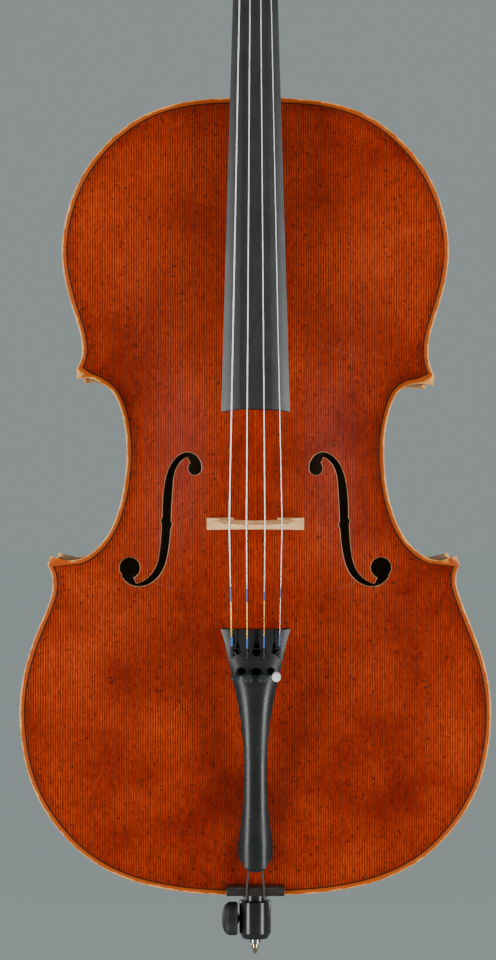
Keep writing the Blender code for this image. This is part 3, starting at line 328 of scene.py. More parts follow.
def plainWood(name, dark, light, stretch, rough):
    material = bpy.data.materials.new(name)
    material.use_nodes = True
    nodes, links = material.node_tree.nodes, material.node_tree.links
    nodes.clear()
    output = nodes.new("ShaderNodeOutputMaterial")
    output.label = "plain wood"
    shader = nodes.new("ShaderNodeBsdfPrincipled")
    shader.label = "planed surface"
    place = nodes.new("ShaderNodeTexCoord")
    place.label = "place on the wood"
    drawn = nodes.new("ShaderNodeMapping")
    drawn.label = "long fibres"
    drawn.inputs["Scale"].default_value = stretch
    streaks = nodes.new("ShaderNodeTexNoise")
    streaks.label = "streaks"
    streaks.inputs["Scale"].default_value = 1
    streaks.inputs["Detail"].default_value = 5
    streaks.inputs["Roughness"].default_value = 0.6
    tones = nodes.new("ShaderNodeMapRange")
    tones.label = "streak strength"
    tones.inputs["From Min"].default_value = 0.35
    tones.inputs["From Max"].default_value = 0.65
    cloud = nodes.new("ShaderNodeTexNoise")
    cloud.label = "slow change of tone"
    cloud.inputs["Scale"].default_value = 30
    shade = nodes.new("ShaderNodeMath")
    shade.label = "streaks with clouds"
    shade.operation = "MULTIPLY"
    blend = nodes.new("ShaderNodeMix")
    blend.label = "dark to light"
    blend.data_type = "RGBA"
    blend.inputs["A"].default_value = (*dark, 1)
    blend.inputs["B"].default_value = (*light, 1)
    worn = nodes.new("ShaderNodeMapRange")
    worn.label = "worn and dull spots"
    worn.inputs["To Min"].default_value = rough - 0.06
    worn.inputs["To Max"].default_value = rough + 0.12
    pores = nodes.new("ShaderNodeBump")
    pores.label = "open pores"
    pores.inputs["Strength"].default_value = 0.25
    pores.inputs["Distance"].default_value = 0.0001
    links.new(place.outputs["Object"], drawn.inputs["Vector"])
    links.new(drawn.outputs["Vector"], streaks.inputs["Vector"])
    links.new(streaks.outputs["Fac"], tones.inputs["Value"])
    links.new(place.outputs["Object"], cloud.inputs["Vector"])
    links.new(tones.outputs["Result"], shade.inputs[0])
    links.new(cloud.outputs["Fac"], shade.inputs[1])
    links.new(shade.outputs["Value"], blend.inputs["Factor"])
    links.new(cloud.outputs["Fac"], worn.inputs["Value"])
    links.new(streaks.outputs["Fac"], pores.inputs["Height"])
    links.new(blend.outputs["Result"], shader.inputs["Base Color"])
    links.new(worn.outputs["Result"], shader.inputs["Roughness"])
    links.new(pores.outputs["Normal"], shader.inputs["Normal"])
    links.new(shader.outputs["BSDF"], output.inputs["Surface"])
    layOutNodes(nodes, (
        ("streaks", (place, drawn, streaks, tones)),
        ("tone", (cloud, shade, blend)),
        ("surface", (worn, pores, shader, output)),
    ))
    return material


hardParts = {   # colour, roughness, metallic, and how fine and deep the surface texture is
    "tailpieceBlack": dict(colour=(0.010, 0.010, 0.010), rough=0.27, metal=0, fine=900, depth=0.00003),
    "fittingBlack": dict(colour=(0.012, 0.012, 0.012), rough=0.2, metal=0, fine=700, depth=0.00002),
    "gripBlack": dict(colour=(0.010, 0.010, 0.0105), rough=0.55, metal=0, fine=1200, depth=0.00006),
    "smokeKnob": dict(colour=(0.018, 0.024, 0.026), rough=0.12, metal=0, fine=500, depth=0.00001),
    "whiteKnob": dict(colour=(0.92, 0.92, 0.92), rough=0.25, metal=0, fine=500, depth=0.00001),
    "leverSteel": dict(colour=(0.10, 0.10, 0.105), rough=0.38, metal=1, fine=1400, depth=0.00002),
    "rodSteel": dict(colour=(0.34, 0.33, 0.32), rough=0.16, metal=1, fine=1500, depth=0.00002),
    "tipBrass": dict(colour=(0.50, 0.40, 0.24), rough=0.16, metal=1, fine=900, depth=0.00002),
    "windingSilver": dict(colour=(0.95, 0.92, 0.90), rough=0.32, metal=1, fine=2600, depth=0.000008),
    "windingRose": dict(colour=(0.86, 0.60, 0.52), rough=0.28, metal=1, fine=2600, depth=0.00003),
    "windingGold": dict(colour=(0.98, 0.52, 0.14), rough=0.34, metal=1, fine=2600, depth=0.00003),
}


def hardSurface(name, colour, rough, metal, fine, depth):
    material = bpy.data.materials.new(name)
    material.use_nodes = True
    nodes, links = material.node_tree.nodes, material.node_tree.links
    nodes.clear()
    output = nodes.new("ShaderNodeOutputMaterial")
    output.label = "metal or moulded part"
    shader = nodes.new("ShaderNodeBsdfPrincipled")
    shader.label = "hard surface"
    shader.inputs["Metallic"].default_value = metal
    place = nodes.new("ShaderNodeTexCoord")
    place.label = "place on the part"
    grain = nodes.new("ShaderNodeTexNoise")
    grain.label = "fine texture"
    grain.inputs["Scale"].default_value = fine
    grain.inputs["Detail"].default_value = 3
    handling = nodes.new("ShaderNodeTexNoise")
    handling.label = "handling marks"
    handling.inputs["Scale"].default_value = 45
    handling.inputs["Detail"].default_value = 4
    spread = nodes.new("ShaderNodeMapRange")
    spread.label = "tone of the marks"
    spread.inputs["From Min"].default_value = 0.3
    spread.inputs["From Max"].default_value = 0.7
    spread.inputs["To Min"].default_value = 0
    spread.inputs["To Max"].default_value = 1
    tone = nodes.new("ShaderNodeMix")
    tone.label = "clean to handled"
    tone.data_type = "RGBA"
    tone.inputs["A"].default_value = (*(0.82 * c for c in colour), 1)
    tone.inputs["B"].default_value = (*(min(1.15 * c, 0.95) for c in colour), 1)
    dull = nodes.new("ShaderNodeMapRange")
    dull.label = "dull and bright spots"
    dull.inputs["To Min"].default_value = max(rough - 0.06, 0.05)
    dull.inputs["To Max"].default_value = rough + 0.08
    relief = nodes.new("ShaderNodeBump")
    relief.label = "surface relief"
    relief.inputs["Strength"].default_value = 0.3
    relief.inputs["Distance"].default_value = depth
    links.new(place.outputs["Object"], grain.inputs["Vector"])
    links.new(place.outputs["Object"], handling.inputs["Vector"])
    links.new(handling.outputs["Fac"], spread.inputs["Value"])
    links.new(spread.outputs["Result"], tone.inputs["Factor"])
    links.new(handling.outputs["Fac"], dull.inputs["Value"])
    links.new(grain.outputs["Fac"], relief.inputs["Height"])
    links.new(tone.outputs["Result"], shader.inputs["Base Color"])
    links.new(dull.outputs["Result"], shader.inputs["Roughness"])
    links.new(relief.outputs["Normal"], shader.inputs["Normal"])
    links.new(shader.outputs["BSDF"], output.inputs["Surface"])
    layOutNodes(nodes, (
        ("marks", (place, grain, handling, spread)),
        ("surface", (tone, dull, relief, shader, output)),
    ))
    return material


threads = {     # colour and pitch of the wrapped thread in metres
    "blueSilk": dict(colour=(0.03, 0.13, 0.42), pitch=0.0005),
    "tailCord": dict(colour=(0.018, 0.014, 0.012), pitch=0.0012),
}


def wrappedThread(name, colour, pitch):
    material = bpy.data.materials.new(name)
    material.use_nodes = True
    nodes, links = material.node_tree.nodes, material.node_tree.links
    nodes.clear()
    output = nodes.new("ShaderNodeOutputMaterial")
    output.label = "wrapped thread"
    shader = nodes.new("ShaderNodeBsdfPrincipled")
    shader.label = "silky fibres"
    shader.inputs["Roughness"].default_value = 0.62
    shader.inputs["Sheen Weight"].default_value = 0.4
    place = nodes.new("ShaderNodeTexCoord")
    place.label = "place on the string"
    turns = nodes.new("ShaderNodeTexWave")
    turns.label = "turns of thread"
    turns.bands_direction = "Z"
    turns.inputs["Scale"].default_value = 0.314 / pitch
    turns.inputs["Distortion"].default_value = 0.6
    fuzz = nodes.new("ShaderNodeTexNoise")
    fuzz.label = "loose fibres"
    fuzz.inputs["Scale"].default_value = 900
    tone = nodes.new("ShaderNodeMix")
    tone.label = "shadow between turns"
    tone.data_type = "RGBA"
    tone.inputs["A"].default_value = (*(0.45 * c for c in colour), 1)
    tone.inputs["B"].default_value = (*colour, 1)
    strand = nodes.new("ShaderNodeMath")
    strand.label = "turns with fuzz"
    strand.operation = "MULTIPLY_ADD"
    strand.inputs[1].default_value = 0.7
    relief = nodes.new("ShaderNodeBump")
    relief.label = "round strands"
    relief.inputs["Strength"].default_value = 0.6
    relief.inputs["Distance"].default_value = 0.0001
    links.new(place.outputs["Object"], turns.inputs["Vector"])
    links.new(place.outputs["Object"], fuzz.inputs["Vector"])
    links.new(turns.outputs["Fac"], strand.inputs[0])
    links.new(fuzz.outputs["Fac"], strand.inputs[2])
    links.new(strand.outputs["Value"], tone.inputs["Factor"])
    links.new(turns.outputs["Fac"], relief.inputs["Height"])
    links.new(tone.outputs["Result"], shader.inputs["Base Color"])
    links.new(relief.outputs["Normal"], shader.inputs["Normal"])
    links.new(shader.outputs["BSDF"], output.inputs["Surface"])
    layOutNodes(nodes, (
        ("thread", (place, turns, fuzz, strand)),
        ("surface", (tone, relief, shader, output)),
    ))
    return material


def studioPaper(name, colour, glow):
    # lit from behind as well, so that the floor runs into the air of the studio without a horizon
    material = bpy.data.materials.new(name)
    material.use_nodes = True
    nodes, links = material.node_tree.nodes, material.node_tree.links
    nodes.clear()
    output = nodes.new("ShaderNodeOutputMaterial")
    output.label = "studio floor"
    shader = nodes.new("ShaderNodeBsdfPrincipled")
    shader.label = "matt paper"
    shader.inputs["Roughness"].default_value = 0.9
    shader.inputs["Specular IOR Level"].default_value = 0.1
    shader.inputs["Emission Color"].default_value = (*glow, 1)
    shader.inputs["Emission Strength"].default_value = 1
    place = nodes.new("ShaderNodeTexCoord")
    place.label = "place on the floor"
    cloud = nodes.new("ShaderNodeTexNoise")
    cloud.label = "faint unevenness"
    cloud.inputs["Scale"].default_value = 3
    tone = nodes.new("ShaderNodeMix")
    tone.label = "pale tones"
    tone.data_type = "RGBA"
    tone.inputs["A"].default_value = (*(0.94 * c for c in colour), 1)
    tone.inputs["B"].default_value = (*colour, 1)
    links.new(place.outputs["Object"], cloud.inputs["Vector"])
    links.new(cloud.outputs["Fac"], tone.inputs["Factor"])
    links.new(tone.outputs["Result"], shader.inputs["Base Color"])
    links.new(shader.outputs["BSDF"], output.inputs["Surface"])
    layOutNodes(nodes, (("paper", (place, cloud, tone, shader, output)),))
    return material


finishes = {name: varnishedWood(name, **values) for name, values in varnishes.items()}
finishes |= {name: plainWood(name, **values) for name, values in plainWoods.items()}
finishes |= {name: hardSurface(name, **values) for name, values in hardParts.items()}
finishes |= {name: wrappedThread(name, **values) for name, values in threads.items()}
finishes["studioFloor"] = studioPaper("studioFloor", (0.04, 0.045, 0.045), (0.228, 0.270, 0.267))
print("finishes mixed")


# ways of making a piece

def growRings(bm, rings, closed=True, capped=True, material=0):
    # the first ring's vertices, extruded from ring to ring
    mark = bm.verts.layers.int.get("mark") or bm.verts.layers.int.new("mark")
    row = [bm.verts.new(point) for point in rings[0]]
    for index, vert in enumerate(row):
        vert[mark] = index
    pairs = list(zip(row, row[1:] + row[:1])) if closed else list(zip(row, row[1:]))
    edges = first = [bm.edges.new(pair) for pair in pairs]
    for ring in rings[1:]:
        grown = bmesh.ops.extrude_edge_only(bm, edges=edges)["geom"]
        fresh = {item for item in grown if isinstance(item, bmesh.types.BMVert)}
        for vert in fresh:
            vert.co = ring[vert[mark]]
        edges = [e for e in grown if isinstance(e, bmesh.types.BMEdge) and set(e.verts) <= fresh]
        for item in grown:
            if isinstance(item, bmesh.types.BMFace):
                item.material_index = material
    if capped:
        for loop in (first, edges):
            for face in bmesh.ops.edgeloop_fill(bm, edges=loop)["faces"]:
                face.material_index = material
    return first


def addTube(bm, route, radius, sides=12, material=0):
    points = [Vector(point) for point in route]
    across = Vector((1, 0, 0.001))
    rings = []
    for index, point in enumerate(points):
        ahead = points[min(index + 1, len(points) - 1)] - points[max(index - 1, 0)]
        ahead.normalize()
        across = (across - ahead * across.dot(ahead)).normalized()
        above = ahead.cross(across)
        width = radius[index] if isinstance(radius, (list, tuple)) else radius
        rings.append([
            point + width * (math.cos(a) * across + math.sin(a) * above)
            for a in (2 * math.pi * k / sides for k in range(sides))
        ])
    growRings(bm, rings, material=material)


def addTurned(bm, profile, steps, place=Matrix.Identity(4), material=0):
    # a profile of radius and height spun about Z, then put in its place
    before = set(bm.faces)
    row = [bm.verts.new((radius, 0, height)) for radius, height in profile]
    edges = [bm.edges.new(pair) for pair in zip(row, row[1:])]
    bmesh.ops.spin(
        bm, geom=row + edges, cent=(0, 0, 0), axis=(0, 0, 1), dvec=(0, 0, 0), angle=2 * math.pi,
        steps=steps, use_merge=True, use_normal_flip=False, use_duplicate=False,
    )
    faces = [face for face in bm.faces if face not in before]
    verts = list({vert for face in faces for vert in face.verts})
    for face in faces:
        face.material_index = material
    bmesh.ops.transform(bm, matrix=place, verts=verts)
    bmesh.ops.remove_doubles(bm, verts=verts, dist=1e-6)


def addSlab(bm, outline, low, high, place=Matrix.Identity(4), material=0, bevel=0.0, segments=2):
    # a flat outline in XY, thickened along Z
    row = [bm.verts.new((x, y, low)) for x, y in outline]
    face = bm.faces.new(row)
    grown = bmesh.ops.extrude_face_region(bm, geom=[face])["geom"]
    top = [item for item in grown if isinstance(item, bmesh.types.BMVert)]
    bmesh.ops.translate(bm, vec=(0, 0, high - low), verts=top)
    verts = row + top
    faces = list({f for vert in verts for f in vert.link_faces})
    bmesh.ops.recalc_face_normals(bm, faces=faces)
    if bevel:
        rims = [e for f in faces if len(f.verts) == len(outline) for e in f.edges]
        made = bmesh.ops.bevel(
            bm, geom=list(set(rims)), offset=bevel, segments=segments, profile=0.5, affect="EDGES", material=-1
        )
        faces = list({f for v in verts if v.is_valid for f in v.link_faces} | set(made["faces"]))
        verts = list({v for f in faces for v in f.verts})
    for f in faces:
        f.material_index = material
    bmesh.ops.transform(bm, matrix=place, verts=verts)


def asPiece(name, bm, materials, stands=(), rides=instrument, sharp=35):
    bmesh.ops.remove_doubles(bm, verts=bm.verts, dist=1e-6)
    bmesh.ops.recalc_face_normals(bm, faces=bm.faces)
    mesh = bpy.data.meshes.new(name)
    bm.to_mesh(mesh)
    bm.free()
    mesh.shade_smooth()
    mesh.set_sharp_from_angle(angle=math.radians(sharp))
    piece = bpy.data.objects.new(name, mesh)
    bpy.context.scene.collection.objects.link(piece)
    for material in materials:
        mesh.materials.append(finishes[material])
    if stands:
        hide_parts(*stands)
    if rides:
        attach(piece, rides)
    return piece


def carve(piece, tools, operation="DIFFERENCE", sharp=35):
    # cuts piece with each tool, or joins them to it, and throws the tools away
    for tool in tools:
        change = piece.modifiers.new(tool.name, "BOOLEAN")
        change.operation = operation
        change.object = tool
        change.solver = "EXACT"
    bpy.context.view_layer.update()
    graph = bpy.context.evaluated_depsgraph_get()
    mesh = bpy.data.meshes.new_from_object(piece.evaluated_get(graph))
    piece.modifiers.clear()
    piece.data = mesh
    mesh.shade_smooth()
    mesh.set_sharp_from_angle(angle=math.radians(sharp))
    for tool in tools:
        bpy.data.objects.remove(tool, do_unlink=True)


def curveThrough(anchors, spots, startWay=None, endWay=None):
    # points at these shares of the length of a smooth curve through the anchors
    anchors = np.array(anchors, float)
    knots = np.concatenate([[0], np.cumsum(np.linalg.norm(np.diff(anchors, axis=0), axis=1))])
    spans = np.diff(knots)
    size = len(anchors)
    matrix = np.zeros((size, size))
    right = np.zeros((size, anchors.shape[1]))
    matrix[0, :2] = (1, 0) if startWay is not None else (2, 1)
    right[0] = startWay if startWay is not None else 3 * (anchors[1] - anchors[0]) / spans[0]
    matrix[-1, -2:] = (0, 1) if endWay is not None else (1, 2)
    right[-1] = endWay if endWay is not None else 3 * (anchors[-1] - anchors[-2]) / spans[-1]
    for i in range(1, size - 1):
        before, after = spans[i - 1], spans[i]
        matrix[i, i - 1:i + 2] = (after, 2 * (before + after), before)
        rise = after * (anchors[i] - anchors[i - 1]) / before + before * (anchors[i + 1] - anchors[i]) / after
        right[i] = 3 * rise
    slopes = np.linalg.solve(matrix, right)
    places = np.linspace(0, knots[-1], 40 * size)
    i = np.clip(np.searchsorted(knots, places, side="right") - 1, 0, size - 2)
    span = spans[i][:, None]
    t = ((places - knots[i]) / spans[i])[:, None]
    fine = (
        (2 * t**3 - 3 * t**2 + 1) * anchors[i] + (t**3 - 2 * t**2 + t) * span * slopes[i]
        + (3 * t**2 - 2 * t**3) * anchors[i + 1] + (t**3 - t**2) * span * slopes[i + 1]
    )
    lengths = np.concatenate([[0], np.cumsum(np.linalg.norm(np.diff(fine, axis=0), axis=1))])
    return np.stack([np.interp(np.array(spots) * lengths[-1], lengths, column) for column in fine.T], axis=1)


def evenCurve(anchors, count):
    return curveThrough(anchors, np.linspace(0, 1, count))


def easedTable(rows, wanted):
    # every column of the rows against the first one, joined smoothly and without overshoot
    rows = np.array(rows, float)
    spans = np.diff(rows[:, 0])[:, None]
    rise = np.diff(rows, axis=0) / spans
    product = rise[:-1] * rise[1:]
    total = rise[:-1] + rise[1:]
    slopes = np.zeros_like(rows)
    slopes[1:-1] = np.where(product > 0, 2 * product / np.where(total == 0, 1, total), 0)
    slopes[0], slopes[-1] = rise[0], rise[-1]
    i = np.clip(np.searchsorted(rows[:, 0], wanted, side="right") - 1, 0, len(rows) - 2)
    span = spans[i]
    t = ((np.array(wanted) - rows[i, 0]) / span[:, 0])[:, None]
    return (
        (2 * t**3 - 3 * t**2 + 1) * rows[i] + (t**3 - 2 * t**2 + t) * span * slopes[i]
        + (3 * t**2 - 2 * t**3) * rows[i + 1] + (t**3 - t**2) * span * slopes[i + 1]
    )


def sagitta(x, radius):
    return radius - math.sqrt(radius * radius - x * x)


# outline of the body

upperRun = (    # x, z in millimetres and the share of the corner's skew
    (0, 801, 0), (60, 798.2, 0), (98, 788, 0), (132, 766, 0), (163, 728, 0), (179.5, 683, 0), (182.2, 653, 0),
    (177.9, 623, 0), (169.2, 593, 0), (163.7, 572, 0), (163.6, 556, 0.6), (166.5, 546.5, 0.9), (168.9, 542, 1),
)
waistRun = (
    (167.5, 533, 1), (158, 534.2, 0.9), (147, 532.1, 0.4), (136, 525, 0), (127.4, 509, 0), (121.3, 470, 0),
    (124, 434.5, 0), (132, 404, 0), (144.5, 382, 0), (155.5, 371.8, 0), (165, 366.8, 0), (176, 365.3, 0.4),
    (186, 366.9, 0.8), (191.3, 369.5, 1),
)
lowerRun = (
    (194.2, 361, 1), (191, 353, 0.8), (190, 345, 0.5), (192.3, 332, 0), (202, 306.5, 0), (213.4, 276, 0),
    (220.3, 246, 0), (222, 216, 0), (219, 186, 0), (208.5, 149, 0), (190, 117.5, 0), (162, 88, 0),
    (122, 65.6, 0), (85, 55.7, 0), (46, 51, 0), (0, 50, 0),
)
runEnds = ((False, True), (True, True), (True, False))
cornerSkew = {"upper": 3.0, "lower": 1.7}   # the corners of the two sides differ by hand


def shares(count, startDense, endDense):
    u = np.linspace(0, 1, count)
    if startDense and endDense:
        eased = (1 - np.cos(np.pi * u)) / 2
    elif endDense:
        eased = np.sin(np.pi * u / 2)
    else:
        eased = 1 - np.cos(np.pi * u / 2)
    return 0.65 * eased + 0.35 * u


def halfRuns(side, counts):
    made = []
    for run, count, dense, skew in zip((upperRun, waistRun, lowerRun), counts, runEnds, (1, 0, -1)):
        anchors = [
            (
                x - (0 if z > 450 else cornerSkew["lower"] * share * side),
                z - (cornerSkew["upper"] * share * side if z > 450 else 0),
            )
            for x, z, share in run
        ]
        start = (1, 0) if skew == 1 else None
        end = (-1, 0) if skew == -1 else None
        made.append(curveThrough(anchors, shares(count, *dense), start, end) * mm * (side, 1))
    return made


plateShape = {
    "ribHalf": 0.059, "channel": 0.0034, "fullness": 0.75, "frontArch": 0.027, "backArch": 0.026,
    "thickness": 0.0046, "spine": (0.715, 0.592, 0.318, 0.135), "counts": (86, 92, 104),
}
rightRuns = halfRuns(1, plateShape["counts"])
leftRuns = halfRuns(-1, plateShape["counts"])
spineSpans = zip(plateShape["spine"], plateShape["spine"][1:])
spineHalf = np.concatenate([
    top + (low - top) * shares(count, *dense)
    for (top, low), count, dense in zip(spineSpans, plateShape["counts"], runEnds)
])
outline = np.concatenate([*rightRuns, np.concatenate(leftRuns)[::-1][1:-1]])
spine = np.concatenate([spineHalf, spineHalf[::-1][1:-1]])
spinePoints = np.stack([np.zeros(len(spine)), spine], axis=1)


def outlineDistance(points):
    start = outline
    along = np.roll(outline, -1, axis=0) - start
    found = []
    for part in np.array_split(points, max(1, len(points) // 800)):
        rel = part[:, None, :] - start[None]
        t = np.clip((rel * along).sum(-1) / (along**2).sum(-1), 0, 1)
        found.append(np.linalg.norm(rel - t[..., None] * along, axis=-1).min(axis=1))
    return np.concatenate(found)


rayShares = np.concatenate([np.linspace(0, 0.12, 30), np.linspace(0.125, 0.6, 20)])
rayPoints = outline[:, None] + rayShares[None, :, None] * (spinePoints - outline)[:, None]
rayDepths = outlineDistance(rayPoints.reshape(-1, 2)).reshape(len(outline), -1)
rayDepths = np.maximum.accumulate(rayDepths, axis=1)


def shareAt(depth):
    return np.array([np.interp(depth * mm, row, rayShares) for row in rayDepths])


edgeProfile = (  # depth inside the outline and height over the ribs, in millimetres, round the overhanging edge
    (0.9, 0), (0.25, 0.5), (0, 1.4), (0, 3.0), (0.35, 4.2), (1.1, 4.85), (2.0, 5.0), (3.0, 4.8), (4.2, 4.4),
    (5.4, 4.0), (6.8, 3.65), (8.4, 3.45),
)


def easeArching(bm, side, depths):
    # evens out the height on a square grid, so that no ridge runs from the corners to the middle
    bm.faces.ensure_lookup_table()
    tree = BVHTree.FromBMesh(bm)
    step = 0.004
    xs, zs = np.arange(-0.24, 0.2401, step), np.arange(0.03, 0.8201, step)
    height = np.zeros((len(xs), len(zs)))
    inside = np.zeros_like(height)
    for i, x in enumerate(xs):
        for j, z in enumerate(zs):
            hit = tree.ray_cast(Vector((x, side * 0.3, z)), Vector((0, -side, 0)))[0]
            if hit is not None:
                height[i, j], inside[i, j] = hit.y, 1
    reach = np.arange(-9, 10)
    bell = np.exp(-0.5 * (reach / 3.6) ** 2)

    def blurred(grid):
        for axis in (0, 1):
            grid = np.apply_along_axis(lambda row: np.convolve(row, bell, "same"), axis, grid)
        return grid

    change = (blurred(height) / np.maximum(blurred(inside), 1e-6) - height) * inside
    for vert, depth in zip(bm.verts, depths):
        share = min(max((depth - 0.011) / 0.030, 0), 1)
        i, u = divmod((vert.co.x - xs[0]) / step, 1)
        j, v = divmod((vert.co.z - zs[0]) / step, 1)
        i, j = int(i), int(j)
        here = (1 - u) * (1 - v) * change[i, j] + u * (1 - v) * change[i + 1, j]
        here += (1 - u) * v * change[i, j + 1] + u * v * change[i + 1, j + 1]
        vert.co.y += float(here) * share * share * (3 - 2 * share)


def makePlate(name, stands, side, arch, materials):
    crown = arch - 0.004 * ((spine - 0.43) / 0.29) ** 2
    channel, lining = shareAt(9.6), shareAt(13)

    def ring(share, height):
        flat = outline + share[:, None] * (spinePoints - outline)
        out = side * (plateShape["ribHalf"] + np.broadcast_to(height, len(outline)))
        return [(x, y, z) for (x, z), y in zip(flat, out)]

    def lift(rise):
        return ((1 - math.cos(math.pi * rise)) / 2) ** plateShape["fullness"]

    inside = [
        ring(lining + (1 - lining) * rise, (crown - plateShape["thickness"]) * lift(rise))
        for rise in np.linspace(1, 0, 9)
    ]
    inside.append(ring(shareAt(6), 0))
    outside = [ring(shareAt(depth), height * mm) for depth, height in edgeProfile]
    outside += [
        ring(channel + (1 - channel) * rise, plateShape["channel"] + (crown - plateShape["channel"]) * lift(rise))
        for rise in np.linspace(0, 1, 20)
    ]
    bm = bmesh.new()
    growRings(bm, inside + outside[:1], capped=False, material=1)
    growRings(bm, outside, capped=False)
    bmesh.ops.remove_doubles(bm, verts=bm.verts, dist=1e-6)
    depths = outlineDistance(np.array([(v.co.x, v.co.z) for v in bm.verts]))
    easeArching(bm, side, depths)
    deep = [vert for vert, depth in zip(bm.verts, depths) if depth > 0.011]
    for _ in range(12):
        bmesh.ops.smooth_vert(bm, verts=deep, factor=0.5, use_axis_y=True)
    return asPiece(name, bm, materials, stands=(stands,), sharp=50)


def markEdges(piece):
    mesh = piece.data
    flat = np.array([(v.co.x, v.co.z) for v in mesh.vertices])
    layer = mesh.attributes.new("edgeDistance", "FLOAT", "POINT")
    layer.data.foreach_set("value", outlineDistance(flat) / mm)


# front

stemRuns = (    # treble side, in millimetres: smooth stretches between the sharp points
    ((49.4, 454.1), (51.8, 460.3), (56.6, 465.5), (63.2, 467.7), (69, 466.4), (73.8, 463.2), (78.6, 457.8),
     (83.3, 447.8), (86.1, 435.4), (87.4, 421.4), (87.8, 405.8)),
    ((89.5, 403.3),),
    ((88.4, 399.2), (89, 387.7), (90.4, 373.6), (92.9, 362), (97.6, 353.4), (104.3, 347.2), (111.5, 343.8)),
    ((114.3, 349.5), (117, 356), (124, 354)),
    ((126.3, 350.5), (119.5, 343.3), (112, 340.7), (102.4, 341.8), (91.9, 348.6), (85.2, 359.1), (81.8, 371.8),
     (80, 384.9), (79.2, 394.2)),
    ((77.6, 399.5),),
    ((78.8, 402.1), (78.3, 416.7), (77.3, 432.6), (76.4, 443.1), (74.3, 450.7), (70, 457.8), (64.2, 462.2)),
    ((61.5, 457), (58, 453)),
)
eyes = ((56.7, 452.0, 7.0), (118.1, 358.5, 10.2))

frontPlate = makePlate(
    "front", "front_plate", -1, plateShape["frontArch"], ("spruceVarnish", "insidePlate", "soundholeRim")
)
frontTree = BVHTree.FromPolygons(
    [vert.co for vert in frontPlate.data.vertices], [face.vertices for face in frontPlate.data.polygons]
)


def frontY(x, z):
    return frontTree.ray_cast(Vector((x, -0.3, z)), Vector((0, 1, 0)))[0].y


def soundHoleTool(name, loop):
    # follows the arching, and narrows inwards so that the wall of the hole shows as a thin light rim
    loop = np.array(loop)
    way = np.roll(loop, -1, axis=0) - np.roll(loop, 1, axis=0)
    way /= np.linalg.norm(way, axis=1)[:, None]
    outward = np.stack([way[:, 1], -way[:, 0]], axis=1)
    area = np.sum(loop[:, 0] * np.roll(loop[:, 1], -1) - np.roll(loop[:, 0], -1) * loop[:, 1])
    outward *= 1 if area > 0 else -1
    surface = np.array([frontY(x, z) for x, z in loop])
    taper = 0.0012
    wide, narrow = loop + taper * outward, loop - taper * outward
    rings = [
        [(x, -0.105, z) for x, z in wide], [(x, y - 0.008, z) for (x, z), y in zip(wide, surface)],
        [(x, y + 0.008, z) for (x, z), y in zip(narrow, surface)], [(x, -0.045, z) for x, z in narrow],
    ]
    bm = bmesh.new()
    growRings(bm, rings, material=2)
    return asPiece(name, bm, ("spruceVarnish", "insidePlate", "soundholeRim"), rides=None)


tools = []
for side in (1, -1):
    loop = []
    for run in stemRuns:
        run = np.array(run) * mm * (side, 1)
        loop += list(evenCurve(run, 6 * len(run)) if len(run) > 3 else run)
    tools.append(soundHoleTool("stemTool", loop))
    for x, z, radius in eyes:
        turn = [2 * math.pi * k / 56 for k in range(56)]
        tools.append(soundHoleTool("eyeTool", [
            (side * x * mm + radius * mm * math.cos(a), z * mm + radius * mm * math.sin(a)) for a in turn
        ]))


def boxTool(name, low, high):
    bm = bmesh.new()
    bmesh.ops.create_cube(bm, size=1)
    for vert in bm.verts:
        vert.co = [low[i] + (high[i] - low[i]) * (vert.co[i] + 0.5) for i in range(3)]
    return asPiece(name, bm, (), rides=None)


def mortiseTool():
    bm = bmesh.new()
    corners = ((-0.0245, -0.095), (0.0245, -0.095), (0.0166, 0.0589), (-0.0166, 0.0589))
    growRings(bm, [[(x, y, z) for x, y in corners] for z in (0.7857, 0.83)])
    return asPiece("mortiseTool", bm, (), rides=None)


tools.append(mortiseTool())
tools.append(boxTool("saddleSeat", (-0.0275, -0.08, 0.04), (0.0275, -0.0589, 0.0603)))
carve(frontPlate, tools, sharp=40)
markEdges(frontPlate)
print("front carved")


# back

backPlate = makePlate("back", "back_plate", 1, plateShape["backArch"], ("mapleVarnish", "insidePlate"))
button = {"half": 0.020, "top": 0.824}
loop = [(button["half"], 0.785)] + [
    (button["half"] * math.cos(a), button["top"] - button["half"] * (1 - math.sin(a)))
    for a in np.linspace(0, math.pi, 40)
] + [(-button["half"], 0.785)]
bm = bmesh.new()
toBack = Matrix.Translation((0, 0.0635, 0)) @ Matrix.Rotation(math.pi / 2, 4, "X")
addSlab(bm, loop, 0, 0.0045, toBack, bevel=0.0008)
carve(backPlate, [asPiece("buttonTool", bm, (), rides=None)], "UNION", sharp=40)
markEdges(backPlate)
print("back carved")


# ribs

def inset(run, distance):
    way = np.gradient(run, axis=0)
    way /= np.linalg.norm(way, axis=1)[:, None]
    inward = np.stack([way[:, 1], -way[:, 0]], axis=1)
    return run + distance * inward * (1 if run[len(run) // 2, 0] > 0 else -1)


def carriedOn(run):
    step = run[-1] - run[-2]
    return np.vstack([run, run[-1] + step * 0.010 / np.linalg.norm(step)])


def crossing(first, second):
    for i in range(len(first) - 1, 0, -1):
        a, b = first[i - 1], first[i]
        for j in range(len(second) - 1):
            c, d = second[j], second[j + 1]
            matrix = np.array([b - a, c - d]).T
            if abs(np.linalg.det(matrix)) < 1e-14:
                continue
            s, t = np.linalg.solve(matrix, c - a)
            if 0 <= s <= 1 and 0 <= t <= 1:
                return i, j, a + s * (b - a)


